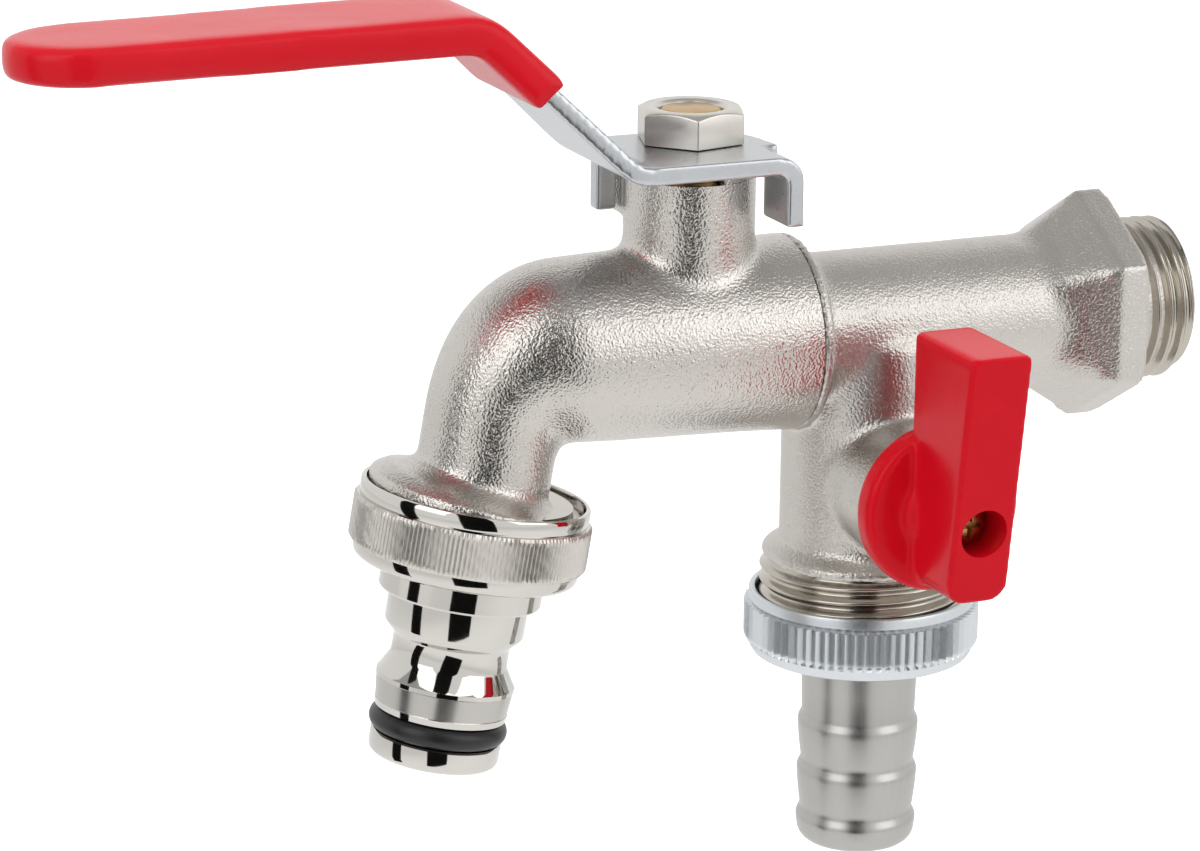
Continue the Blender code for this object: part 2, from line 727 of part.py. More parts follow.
def rounded_tip(line, widths, points=5):
    """Adds stations that close the strip's end in a half round of its width."""
    x, z, _ = line[-1]
    half = widths[-1]
    for i in range(1, points + 1):
        angle = math.radians(80) * i / points
        line.append((x - half * math.sin(angle), z, 0.0))
        widths.append(half * math.cos(angle))
    return line, widths


def build_lever():
    line = lever_line()
    line, widths = rounded_tip(line, lever_widths(line))
    lever = solid("main_lever", strip(line, widths, LEVER_THICKNESS), steel, stem_pivot)
    # Stop tabs turned down at two opposite corners of the head
    tab_top = LEVER_UNDERSIDE + 0.4
    for side in (1, -1):
        outer = side * HEAD_END
        inner = side * tab_inside
        near, far = sorted((outer, inner))
        low_y, high_y = sorted((-side * HEAD_HALF_WIDTH, -side * tab_edge))
        tab = block((near, low_y, LEVER_UNDERSIDE - TAB_LENGTH), (far, high_y, tab_top))
        join(lever, helper(f"stop_tab_{side}", tab, stem_pivot))
    # The corner behind the arm's tab is cut away, and the head's free corner is rounded
    notch = block(
        (-HEAD_END - 9.0, tab_edge - 0.6, LEVER_UNDERSIDE - 1),
        (-HEAD_END, HEAD_HALF_WIDTH + 2, LEVER_UNDERSIDE + LEVER_THICKNESS + 8),
    )
    corner = HEAD_END
    rounding = prism(
        [(corner + 2, HEAD_HALF_WIDTH + 2), (0.0, HEAD_HALF_WIDTH + 2), (0.0, HEAD_HALF_WIDTH)]
        + arc((0.0, HEAD_HALF_WIDTH - corner), corner, 90, 0, 7)[1:]
        + [(corner + 2, HEAD_HALF_WIDTH - corner)],
        LEVER_UNDERSIDE - 1,
        LEVER_UNDERSIDE + LEVER_THICKNESS + 1,
    )
    hole_radius = STEM_DIAMETER / 2 + REST_GAP
    flat = STEM_FLATS / 2 + REST_GAP
    edge = math.degrees(math.asin(flat / hole_radius))
    outline = arc((0, 0), hole_radius, -edge, edge, 6) + arc((0, 0), hole_radius, 180 - edge, 180 + edge, 6)
    hole = prism(outline, LEVER_UNDERSIDE - 1, LEVER_UNDERSIDE + LEVER_THICKNESS + 1)
    cut(
        lever,
        helper("arm_notch", notch, stem_pivot),
        helper("head_corner", rounding, stem_pivot),
        helper("lever_hole", hole, stem_pivot),
    )

    # Dipped sleeve over the blade, the upper bend and the top of the arm
    line = lever_line()
    low = line[0][1]
    arm_low = line[6]
    arm_high = line[7]
    share = (GRIP_START_RISE - (arm_low[1] - low)) / (arm_high[1] - arm_low[1])
    start = (mixed(arm_low[0], arm_high[0], share), mixed(arm_low[1], arm_high[1], share), ARM_ANGLE)
    grip_line = [start] + line[7:]
    wall = GRIP_WALL
    widths = lever_widths([line[0]] + grip_line, wall + REST_GAP)[1:]
    grip_line, widths = rounded_tip(grip_line, widths, 7)
    sleeve = solid(
        "lever_grip", strip(grip_line, widths, LEVER_THICKNESS + 2 * (wall + REST_GAP)), red_vinyl, stem_pivot
    )
    inner_line = lever_line()
    inner_widths = lever_widths(inner_line, REST_GAP)
    inner_line, inner_widths = rounded_tip(inner_line, inner_widths)
    socket = strip(inner_line, inner_widths, LEVER_THICKNESS + 2 * REST_GAP)
    cut(sleeve, helper("grip_socket", socket, stem_pivot))

    chamfer = LEVER_NUT_FLATS / math.sqrt(3)
    blank = solid(
        "lever_nut",
        prism(hexagon(LEVER_NUT_FLATS, math.radians(-106.7)), nut_base, nut_base + LEVER_NUT_HEIGHT),
        nickel,
        stem_pivot,
    )
    slope = chamfer - LEVER_NUT_FLATS / 2
    nut_top = nut_base + LEVER_NUT_HEIGHT + 0.06
    crown = turned(
        [(0, nut_base - 1), (chamfer + 1, nut_base - 1), (chamfer + 1, nut_base + LEVER_NUT_HEIGHT - slope)]
        + [(LEVER_NUT_FLATS / 2 - 0.3, nut_top), (0, nut_top)],
        SMALL_STEPS,
    )
    combine(blank, helper("nut_crown", crown, stem_pivot), "INTERSECT")
    nut_hole = rod(STEM_DIAMETER / 2 + REST_GAP, nut_base - 2, STEM_TOP + 5, SMALL_STEPS)
    cut(blank, helper("nut_hole", nut_hole, stem_pivot))


branch_ball_radius = BRANCH_BALL_DIAMETER / 2
branch_touch = (branch_ball_radius + RUN_GAP) * math.sqrt(2)
branch_seat_radius = BRANCH_CHAMBER / 2 - REST_GAP
branch_seat_mouth = BRANCH_STEM_COLLAR / 2 + RUN_GAP
branch_seat_end = branch_seat_mouth + BRANCH_SEAT_LENGTH
branch_collar_low = branch_ball_radius + RUN_GAP
branch_collar_high = BRANCH_DIAMETER / 2
handle_back = BOSS_FACE + REST_GAP
disk_front = handle_back + DISK_THICKNESS


def build_branch_valve():
    for name, way in (("branch_seat_upper", 1), ("branch_seat_lower", -1)):
        outline = [
            (BRANCH_BALL_BORE / 2 + 0.1, branch_seat_end),
            (BRANCH_BALL_BORE / 2 + 0.1, branch_touch - BRANCH_BALL_BORE / 2 - 0.1),
            (branch_touch - branch_seat_mouth, branch_seat_mouth),
            (branch_seat_radius, branch_seat_mouth),
            (branch_seat_radius, branch_seat_end),
        ]
        seat = turned([(r, way * z) for r, z in outline], SMALL_STEPS)
        solid(name, seat, seat_white, handle_pivot)
    slot_half = BRANCH_TONGUE_WIDTH / 2 + RUN_GAP
    slot_near = branch_ball_radius - BRANCH_TONGUE_DEPTH - RUN_GAP
    ball(
        "branch_ball",
        BRANCH_BALL_DIAMETER,
        BRANCH_BALL_BORE,
        handle_pivot,
        (0.0, 0.0, 0.0),
        (-slot_half, -branch_ball_radius - 1, -branch_ball_radius),
        (slot_half, -slot_near, branch_ball_radius),
    )
    retainer_high = -branch_seat_end - REST_GAP
    slot_low = retainer_high - RETAINER_LENGTH
    retainer = ring(BRANCH_BALL_BORE / 2 + 0.1, branch_seat_radius, slot_low, retainer_high, SMALL_STEPS)
    piece = solid("branch_retainer", retainer, brass, handle_pivot)
    slot = block((-BRANCH_CHAMBER, -0.9, slot_low - 1), (BRANCH_CHAMBER, 0.9, slot_low + 1.4))
    cut(piece, helper("retainer_slot", slot, handle_pivot))

    radius = BRANCH_STEM_DIAMETER / 2
    groove_floor = radius - BRANCH_RING_SECTION - 0.1
    half = BRANCH_RING_SECTION / 2 + 0.15
    ring_places = [mixed(branch_collar_high, BOSS_FACE, share) for share in (0.3, 0.6)]
    square_start = BOSS_FACE - 1.0
    outline = [(0, branch_collar_low), (BRANCH_STEM_COLLAR / 2, branch_collar_low)]
    outline += [(BRANCH_STEM_COLLAR / 2, branch_collar_high), (radius, branch_collar_high)]
    for place in ring_places:
        outline += [(radius, place - half), (groove_floor, place - half)]
        outline += [(groove_floor, place + half), (radius, place + half)]
    stem_end = disk_front + 1.2
    outline += [(radius, square_start), (HANDLE_SQUARE / 2 - 0.6, square_start)]
    outline += [(HANDLE_SQUARE / 2 - 0.6, stem_end - 1.0), (0, stem_end - 1.0)]
    stem = solid("branch_stem", turned(outline, SMALL_STEPS), brass, handle_pivot, turn=TOWARDS_FRONT)
    side = HANDLE_SQUARE / 2
    square = block((-side, -stem_end, -side), (side, -square_start + 0.6, side))
    reach = BRANCH_STEM_COLLAR / 2 - 1.0
    tongue = block(
        (-BRANCH_TONGUE_WIDTH / 2, -branch_collar_low - 0.6, -reach),
        (BRANCH_TONGUE_WIDTH / 2, -branch_ball_radius + BRANCH_TONGUE_DEPTH, reach),
    )
    join(
        stem,
        helper("stem_square", square, handle_pivot),
        helper("branch_tongue", tongue, handle_pivot),
    )
    pilot = rod(SCREW_SHANK_DIAMETER / 2 + REST_GAP, stem_end - SCREW_LENGTH, stem_end + 1, 16)
    cut(stem, helper("screw_pilot", pilot, handle_pivot, turn=TOWARDS_FRONT))
    for name, place in zip(("branch_o_ring_inner", "branch_o_ring_outer"), ring_places):
        middle = groove_floor + 0.1 + BRANCH_RING_SECTION / 2
        seal = o_ring(middle, BRANCH_RING_SECTION - 0.1, place)
        solid(name, seal, rubber, handle_pivot, turn=TOWARDS_FRONT)


def build_handle():
    """Disk and leaning bar of the branch's handle; local Z runs towards the front."""
    disk = turned(
        [(0, handle_back), (DISK_DIAMETER / 2 - 0.5, handle_back), (DISK_DIAMETER / 2, handle_back + 0.5)]
        + [(DISK_DIAMETER / 2, disk_front - 0.8), (DISK_DIAMETER / 2 - 0.8, disk_front), (0, disk_front)]
    )
    handle = solid("branch_handle", disk, red_paint, handle_pivot, turn=TOWARDS_FRONT)
    # The bar is its front view, drawn out of the disk and cut off by a leaning plane
    low_front = disk_front + BAR_FRONT_LOW - DISK_THICKNESS
    lean = math.tan(BAR_LEAN) * (BAR_TOP + BAR_BOTTOM)
    back = disk_front - DISK_THICKNESS / 2
    half = BAR_WIDTH / 2
    front_view = arc((half - BAR_ROUND, BAR_TOP - BAR_ROUND), BAR_ROUND, 0, 90, 4)
    front_view += arc((-half + BAR_ROUND, BAR_TOP - BAR_ROUND), BAR_ROUND, 90, 180, 4)
    front_view += arc((-half + BAR_FOOT_ROUND, -BAR_BOTTOM + BAR_FOOT_ROUND), BAR_FOOT_ROUND, 180, 270, 6)
    front_view += arc((half - BAR_FOOT_ROUND, -BAR_BOTTOM + BAR_FOOT_ROUND), BAR_FOOT_ROUND, 270, 360, 6)
    bar = prism(front_view, back, low_front + lean + 5)
    slope = Vector((0, -math.sin(BAR_LEAN), math.cos(BAR_LEAN)))
    bmesh.ops.bisect_plane(
        bar,
        geom=bar.verts[:] + bar.edges[:] + bar.faces[:],
        plane_co=(0, -BAR_BOTTOM, low_front),
        plane_no=slope,
        clear_outer=True,
    )
    rim = bmesh.ops.holes_fill(bar, edges=[edge for edge in bar.edges if edge.is_boundary])["faces"]
    bmesh.ops.recalc_face_normals(bar, faces=bar.faces)
    bmesh.ops.bevel(bar, geom=list(rim[0].edges), offset=BAR_ROUND, segments=2, affect="EDGES", profile=0.5)
    bar_shape = helper("bar_shape", bar, handle_pivot, turn=TOWARDS_FRONT)
    recess_floor = low_front + math.tan(BAR_LEAN) * BAR_BOTTOM - SCREW_RECESS_DEPTH
    recess = rod(SCREW_RECESS_DIAMETER / 2, recess_floor, low_front + lean + 1, 24)
    shank_hole = rod(SCREW_SHANK_DIAMETER / 2 + REST_GAP, disk_front - 2, recess_floor + 1, 16)
    side = HANDLE_SQUARE / 2 + REST_GAP
    socket = block((-side, -disk_front - 1.5, -side), (side, -handle_back + 1, side))
    shank_cut = helper("shank_hole", off_line(shank_hole), handle_pivot, turn=TOWARDS_FRONT)
    socket_cut = helper("handle_socket", socket, handle_pivot)
    cut(bar_shape, helper("screw_recess", off_line(recess), handle_pivot, turn=TOWARDS_FRONT))
    join(handle, bar_shape)
    cut(handle, socket_cut, shank_cut)
    head_low = recess_floor + REST_GAP
    head = SCREW_HEAD_DIAMETER / 2
    shank = SCREW_SHANK_DIAMETER / 2
    screw = turned(
        [(0, head_low - SCREW_LENGTH), (shank, head_low - SCREW_LENGTH), (shank, head_low), (head, head_low)]
        + [(head, head_low + SCREW_HEAD_HEIGHT * 0.4)]
        + [(head * 0.75, head_low + SCREW_HEAD_HEIGHT * 0.85), (0, head_low + SCREW_HEAD_HEIGHT)],
        24,
    )
    piece = solid("handle_screw", screw, brass, handle_pivot, turn=TOWARDS_FRONT)
    slot_floor = head_low + SCREW_HEAD_HEIGHT * 0.45
    head_top = head_low + SCREW_HEAD_HEIGHT
    for name, wide, tall in (("cross_slot_a", 1.6, 0.35), ("cross_slot_b", 0.35, 1.6)):
        cross = block((-wide, -tall, slot_floor), (wide, tall, head_top + 1))
        cut(piece, helper(name, cross, handle_pivot, turn=TOWARDS_FRONT))


union_top = BRANCH_LENGTH - UNION_ENGAGEMENT
gasket_top = BRANCH_LENGTH + REST_GAP
tail_top = gasket_top + GASKET_THICKNESS + REST_GAP
lip_top = tail_top + TAIL_FLANGE + REST_GAP
union_bottom = union_top + 2 * UNION_COLLAR + UNION_KNURL
lip_low = max(union_bottom, lip_top + UNION_LIP)


def build_hose_union():
    bore = BRANCH_THREAD_DIAMETER / 2 + THREAD_GAP
    collar = bore + UNION_WALL
    knurl = collar + UNION_KNURL_RISE
    knurl_top = union_top + UNION_COLLAR
    knurl_low = knurl_top + UNION_KNURL
    nut = turned(
        [(bore + 0.6, union_top), (collar - 0.5, union_top), (collar, union_top + 0.5), (collar, knurl_top)]
        + [(knurl - 0.3, knurl_top), (knurl, knurl_top + 0.3)]
        + [(knurl, knurl_low - 0.3), (knurl - 0.3, knurl_low)]
        + [(collar, knurl_low), (collar, lip_low - 0.6), (collar - 0.6, lip_low)]
        + [(TAIL_NECK_DIAMETER / 2 + RUN_GAP, lip_low), (TAIL_NECK_DIAMETER / 2 + RUN_GAP, lip_top)]
        + [(bore, lip_top), (bore, union_top + 0.6)]
    )
    solid("union_nut", nut, zinc, branch_pivot, turn=DOWN)
    gasket = ring(TAIL_BORE / 2, GASKET_DIAMETER / 2, gasket_top, gasket_top + GASKET_THICKNESS)
    solid("hose_gasket", gasket, rubber, branch_pivot, turn=DOWN)

    neck = TAIL_NECK_DIAMETER / 2
    waist = TAIL_WAIST_DIAMETER / 2
    barb = BARB_DIAMETER / 2
    outline = [(TAIL_BORE / 2, tail_top), (TAIL_FLANGE_DIAMETER / 2, tail_top)]
    outline += [(TAIL_FLANGE_DIAMETER / 2, tail_top + TAIL_FLANGE), (neck, tail_top + TAIL_FLANGE)]
    outline += [(neck, lip_low + 1.0)]
    for i in range(BARB_COUNT):
        crest = FIRST_BARB + i * BARB_PITCH
        outline += [(waist, crest - BARB_STEP), (barb - 0.15, crest - 0.15), (barb, crest + 0.35)]
    last = FIRST_BARB + (BARB_COUNT - 1) * BARB_PITCH
    outline += [(barb, last + TAIL_LAND)]
    outline += arc((barb - TAIL_NOSE, last + TAIL_LAND), TAIL_NOSE, 0, 90, 4)[1:]
    outline += [(TAIL_BORE / 2, last + TAIL_LAND + TAIL_NOSE)]
    solid("hose_tail", turned(outline), nickel, branch_pivot, turn=DOWN)


def build_connector():
    """Quick connector in one piece, on the spout's axis; heights run down the spout."""
    bore = SPOUT_THREAD_DIAMETER / 2 + THREAD_GAP
    collar = bore + CONNECTOR_WALL
    knurl = collar + CONNECTOR_KNURL_RISE
    knurl_top = CONNECTOR_TOP + CONNECTOR_COLLAR
    knurl_low = knurl_top + CONNECTOR_KNURL
    foot_low = knurl_low + CONNECTOR_FOOT
    gasket_top = SPOUT_LENGTH + REST_GAP
    floor = gasket_top + GASKET_THICKNESS + REST_GAP
    ring_half = NOSE_RING_SECTION / 2 + 0.15
    ring_place = FLANGE_END + ring_half
    ring_floor = NOSE_RING_DIAMETER / 2 - NOSE_RING_SECTION - 0.1
    nose = NOSE_DIAMETER / 2
    outline = [(bore, CONNECTOR_TOP), (collar - 0.5, CONNECTOR_TOP), (collar, CONNECTOR_TOP + 0.5)]
    outline += [(collar, knurl_top), (knurl - 0.3, knurl_top), (knurl, knurl_top + 0.3)]
    outline += [(knurl, knurl_low - 0.3), (knurl - 0.3, knurl_low), (collar, knurl_low)]
    outline += [(collar, foot_low - 0.9), (collar - 0.9, foot_low), (STEP_DIAMETER / 2, foot_low)]
    outline += [(STEP_DIAMETER / 2, STEP_END - 0.5), (STEP_DIAMETER / 2 - 0.5, STEP_END)]
    outline += [(SHOULDER_DIAMETER / 2, STEP_END), (SHOULDER_DIAMETER / 2, SHOULDER_END)]
    outline += [(GROOVE_DIAMETER / 2, GROOVE_START), (GROOVE_DIAMETER / 2, GROOVE_END)]
    outline += [(FLANGE_DIAMETER / 2, FLANGE_START), (FLANGE_DIAMETER / 2, FLANGE_END)]
    outline += [(ring_floor, FLANGE_END), (ring_floor, FLANGE_END + 2 * ring_half)]
    outline += [(nose, FLANGE_END + 2 * ring_half), (nose, NOSE_END - 1.2), (nose - 1.2, NOSE_END)]
    outline += [(CONNECTOR_BORE / 2, NOSE_END), (CONNECTOR_BORE / 2, floor), (bore, floor)]
    solid("tap_connector", turned(outline), chrome, spout_pivot)
    gasket = ring(CONNECTOR_BORE / 2, GASKET_DIAMETER / 2, gasket_top, gasket_top + GASKET_THICKNESS)
    solid("connector_gasket", gasket, rubber, spout_pivot)
    seal_middle = NOSE_RING_DIAMETER / 2 - NOSE_RING_SECTION / 2
    seal = o_ring(seal_middle, NOSE_RING_SECTION - 0.1, ring_place, 8, STEPS)
    solid("connector_o_ring", seal, rubber, spout_pivot)


build_spout_body()
build_inlet_body()
build_main_valve()
build_lever()
build_branch_valve()
build_handle()
build_hose_union()
build_connector()
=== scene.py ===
import json
import math

import bpy
from mathutils import Matrix, Vector


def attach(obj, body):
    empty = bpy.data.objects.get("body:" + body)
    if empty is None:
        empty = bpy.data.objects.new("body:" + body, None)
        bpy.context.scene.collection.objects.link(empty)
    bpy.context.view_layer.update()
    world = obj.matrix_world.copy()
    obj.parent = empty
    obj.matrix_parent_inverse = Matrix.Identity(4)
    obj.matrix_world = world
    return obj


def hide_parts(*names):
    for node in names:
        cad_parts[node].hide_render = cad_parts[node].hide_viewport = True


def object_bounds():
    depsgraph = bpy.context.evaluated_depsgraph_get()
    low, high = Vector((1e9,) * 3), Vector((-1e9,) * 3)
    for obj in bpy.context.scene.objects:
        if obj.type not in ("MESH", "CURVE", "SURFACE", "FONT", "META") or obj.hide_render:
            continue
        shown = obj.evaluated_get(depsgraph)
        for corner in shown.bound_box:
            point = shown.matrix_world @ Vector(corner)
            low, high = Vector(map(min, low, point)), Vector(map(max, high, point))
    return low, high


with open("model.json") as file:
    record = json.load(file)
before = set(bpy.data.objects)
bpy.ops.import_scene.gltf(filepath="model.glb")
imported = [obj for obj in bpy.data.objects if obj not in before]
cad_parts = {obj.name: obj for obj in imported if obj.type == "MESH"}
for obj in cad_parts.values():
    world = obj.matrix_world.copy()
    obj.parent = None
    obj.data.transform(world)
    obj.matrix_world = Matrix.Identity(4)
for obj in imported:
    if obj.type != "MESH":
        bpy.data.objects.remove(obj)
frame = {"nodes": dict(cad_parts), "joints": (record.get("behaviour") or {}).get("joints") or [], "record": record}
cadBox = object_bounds()
mm = 0.001
joints = {joint["name"]: joint for joint in frame["joints"]}
stemX = joints["lever_turn"]["pos_m"][0] / mm  # lever's stem, on the main axis
branchX, _, branchStemZ = [value / mm for value in joints["handle_turn"]["pos_m"]]
spoutX = joints["nose_turn"]["pos_m"][0] / mm
spoutDown = Vector(joints["nose_turn"]["axis"]).normalized()
print("frame loaded, stem at", stemX, "branch at", branchX, "spout at", spoutX)


# camera at the photograph's angle, for a picture of 1200 x 851
view = {
    "azimuth": -23.5,
    "elevation": 15.7,
    "roll": 0.69,
    "distance": 0.55785,
    "target": (stemX - 11.64, 0.0, -9.78),
    "imageWidth": 1200,
    "focalPixels": 4500,
    "sensor": 36.0,
}


def linked(name, data):
    piece = bpy.data.objects.new(name, data)
    bpy.context.scene.collection.objects.link(piece)
    return piece


# way out from the object, in degrees round from the front and up from the level
def wayAt(azimuth, elevation=0.0):
    around = math.radians(azimuth)
    above = math.radians(elevation)
    level = math.cos(above)
    return Vector((math.sin(around) * level, -math.cos(around) * level, math.sin(above)))


def placeCamera():
    azimuth = math.radians(view["azimuth"])
    roll = math.radians(view["roll"])
    back = wayAt(view["azimuth"], view["elevation"])
    right = Vector((math.cos(azimuth), math.sin(azimuth), 0.0))
    up = back.cross(right)
    tiltedRight = math.cos(roll) * right + math.sin(roll) * up
    tiltedUp = math.cos(roll) * up - math.sin(roll) * right
    data = bpy.data.cameras.new("photoCamera")
    data.sensor_fit = "HORIZONTAL"
    data.sensor_width = view["sensor"]
    data.lens = view["sensor"] * view["focalPixels"] / view["imageWidth"]
    data.clip_start = 0.01
    camera = linked("photoCamera", data)
    turn = Matrix((tiltedRight, tiltedUp, back)).transposed()
    place = Vector(view["target"]) * mm + view["distance"] * back
    camera.matrix_world = Matrix.Translation(place) @ turn.to_4x4()
    bpy.context.scene.camera = camera


placeCamera()
print("camera placed")


# one wrapped socket: sums and products add Math nodes, node() adds any other node
class Wire:
    def __init__(self, tree, socket=None):
        self.tree = tree
        self.socket = socket

    def node(self, kind, settings=None, sockets=None, output=0):
        made = self.tree.nodes.new(kind)
        for key, value in (settings or {}).items():
            setattr(made, key, value)
        for key, value in (sockets or {}).items():
            self.feed(made.inputs[key], value)
        return Wire(self.tree, made.outputs[output])

    def feed(self, target, value):
        if isinstance(value, Wire):
            self.tree.links.new(value.socket, target)
        else:
            target.default_value = value

    def maths(self, operation, first, second):
        return self.node("ShaderNodeMath", {"operation": operation}, {0: first, 1: second})

    def __add__(self, other):
        return self.maths("ADD", self, other)

    def __radd__(self, other):
        return self.maths("ADD", other, self)

    def __mul__(self, other):
        return self.maths("MULTIPLY", self, other)

    def __rmul__(self, other):
        return self.maths("MULTIPLY", other, self)


white = (1.0, 1.0, 1.0, 1.0)
black = (0.01, 0.01, 0.01, 1.0)
metal = {"Metallic": 1.0}


def newFinish(name, values):
    finish = bpy.data.materials.new(name)
    finish.use_nodes = True
    tree = finish.node_tree
    shader = tree.nodes["Principled BSDF"]
    for key, value in values.items():
        shader.inputs[key].default_value = value
    wire = Wire(tree)
    coords = wire.node("ShaderNodeTexCoord", output="Object")
    return finish, shader, wire, coords


def stretched(wire, coords, scale, turn=(0.0, 0.0, 0.0)):
    return wire.node("ShaderNodeMapping", sockets={"Vector": coords, "Scale": scale, "Rotation": turn})


def noise(wire, coords, scale, detail=2.0, roughness=0.5):
    sockets = {"Vector": coords, "Scale": scale, "Detail": detail, "Roughness": roughness}
    return wire.node("ShaderNodeTexNoise", sockets=sockets)


def tinted(shader, wire, share, look):
    colours = {"Factor": share, 6: (*look["deep"], 1.0), 7: (*look["pale"], 1.0)}
    wire.feed(shader.inputs["Base Color"], wire.node("ShaderNodeMix", {"data_type": "RGBA"}, colours, output=2))


def surfaced(shader, wire, roughness, normal):
    wire.feed(shader.inputs["Roughness"], roughness)
    wire.feed(shader.inputs["Normal"], normal)


def bumped(wire, height, strength, distance, below=None):
    sockets = {"Height": height, "Strength": strength, "Distance": distance}
    if below:
        sockets["Normal"] = below
    return wire.node("ShaderNodeBump", sockets=sockets)


# shot-blasted castings under satin nickel
castNickel = {
    "pale": (0.64, 0.61, 0.575),
    "deep": (0.50, 0.475, 0.44),
    "roughness": 0.2,
    "dullRoughness": 0.3,
    "grain": 3300,  # about three pits a millimetre
    "depth": 0.0001,
    "pits": 0.85,  # their scale beside the grain's
    "swell": 260.0,
    "swellDepth": 0.0003,
    "cloud": 70.0,
}


def castFinish(name, roughness):
    finish, shader, wire, coords = newFinish(name, metal)
    grain = noise(wire, coords, castNickel["grain"], 1.0, 0.5)
    pitScale = castNickel["grain"] * castNickel["pits"]
    pits = wire.node("ShaderNodeTexVoronoi", {"feature": "SMOOTH_F1"}, {"Vector": coords, "Scale": pitScale})
    swell = noise(wire, coords, castNickel["swell"], 2.0)
    cloud = noise(wire, coords, castNickel["cloud"], 3.0)
    tinted(shader, wire, cloud * 0.6 + grain * 0.4, castNickel)
    coarse = bumped(wire, swell, 0.25, castNickel["swellDepth"])
    normal = bumped(wire, grain + 0.6 * pits, 0.9, castNickel["depth"], coarse)
    surfaced(shader, wire, roughness + 0.1 * cloud, normal)
    return finish


# turned and threaded nickel, fine rings left by the tool
machinedNickel = {"pale": (0.55, 0.515, 0.46), "deep": (0.42, 0.385, 0.335), "roughness": 0.19}


def machinedFinish(name, look, ringScale, axisTurn=(0.0, 0.0, 0.0), streak=0.00001):
    finish, shader, wire, coords = newFinish(name, metal)
    rings = noise(wire, stretched(wire, coords, (60.0, 60.0, ringScale), axisTurn), 1.0, 2.0)
    cloud = noise(wire, coords, 140.0, 3.0)
    tinted(shader, wire, cloud, look)
    surfaced(shader, wire, look["roughness"] * (0.7 + 0.6 * cloud), bumped(wire, rings, 0.35, streak))
    return finish


# polished nickel of the quick connector and the balls
polishedNickel = {"pale": (0.63, 0.61, 0.575), "deep": (0.56, 0.54, 0.505), "roughness": 0.06}

# satin band on the connector's flange, and its fine knurl
satinLook = {"pale": (0.52, 0.505, 0.475), "deep": (0.45, 0.435, 0.405), "roughness": 0.24}
knurlLook = {"pale": (0.72, 0.69, 0.645), "deep": (0.50, 0.475, 0.44), "roughness": 0.28}

# bluish plate of the union nut
zincPlate = {"pale": (0.74, 0.77, 0.79), "deep": (0.54, 0.565, 0.585), "roughness": 0.27}

# satin nickel of the hose tail, brushed along its length
brushedNickel = {"pale": (0.50, 0.49, 0.47), "deep": (0.39, 0.38, 0.36), "roughness": 0.25}

# satin nickel of the lever's nut
nutNickel = {"pale": (0.70, 0.665, 0.62), "deep": (0.60, 0.565, 0.52), "roughness": 0.25}


def brushedFinish(name, look, across, along, depth):
    finish, shader, wire, coords = newFinish(name, metal)
    lines = noise(wire, stretched(wire, coords, (across, across, along)), 1.0, 3.0, 0.6)
    cloud = noise(wire, coords, 120.0, 3.0)
    tinted(shader, wire, lines * 0.5 + cloud * 0.5, look)
    surfaced(shader, wire, look["roughness"] + 0.12 * lines, bumped(wire, lines, 0.3, depth))
    return finish


# zinc-plated pressed steel of the lever
zincSteel = {"pale": (0.62, 0.64, 0.655), "deep": (0.45, 0.465, 0.48), "roughness": 0.22}


def steelFinish():
    finish, shader, wire, coords = newFinish("zincSteel", metal)
    spangle = noise(wire, coords, 420.0, 4.0, 0.65)
    fine = noise(wire, coords, 2600.0, 2.0, 0.6)
    tinted(shader, wire, spangle * 0.6 + fine * 0.4, zincSteel)
    surfaced(shader, wire, zincSteel["roughness"] + 0.16 * spangle, bumped(wire, fine + spangle, 0.4, 0.00006))
    return finish


# bare brass of the stem, the gland and the inner turned pieces
bareBrass = {"pale": (0.62, 0.42, 0.18), "deep": (0.40, 0.24, 0.08), "roughness": 0.3}

# dipped vinyl of the grip and glossy paint of the small handle
redVinyl = {"pale": (0.72, 0.006, 0.018), "deep": (0.62, 0.004, 0.013), "roughness": 0.2, "gloss": 0.2}
redPaint = {"pale": (0.72, 0.006, 0.018), "deep": (0.64, 0.004, 0.014), "roughness": 0.16, "gloss": 0.12}


def glossyRed(name, look, waveScale, waveDepth):
    finish, shader, wire, coords = newFinish(name, {"Specular IOR Level": look["gloss"]})
    wave = noise(wire, coords, waveScale, 2.0)
    speck = noise(wire, coords, 1500.0, 2.0)
    tinted(shader, wire, wave * 0.8 + speck * 0.2, look)
    surfaced(shader, wire, look["roughness"] + 0.08 * speck, bumped(wire, wave + 0.1 * speck, 0.3, waveDepth))
    return finish


# black rubber of the rings and gaskets, white plastic of the seats
blackRubber = {"pale": (0.010, 0.010, 0.011), "deep": (0.004, 0.004, 0.005), "roughness": 0.3}
whiteSeat = {"pale": (0.84, 0.84, 0.81), "deep": (0.76, 0.76, 0.73), "roughness": 0.45}


def plainFinish(name, look, grain):
    finish, shader, wire, coords = newFinish(name, {})
    fine = noise(wire, coords, grain, 3.0)
    tinted(shader, wire, fine, look)
    surfaced(shader, wire, look["roughness"] + 0.15 * fine, bumped(wire, fine, 0.15, 0.00003))
    return finish


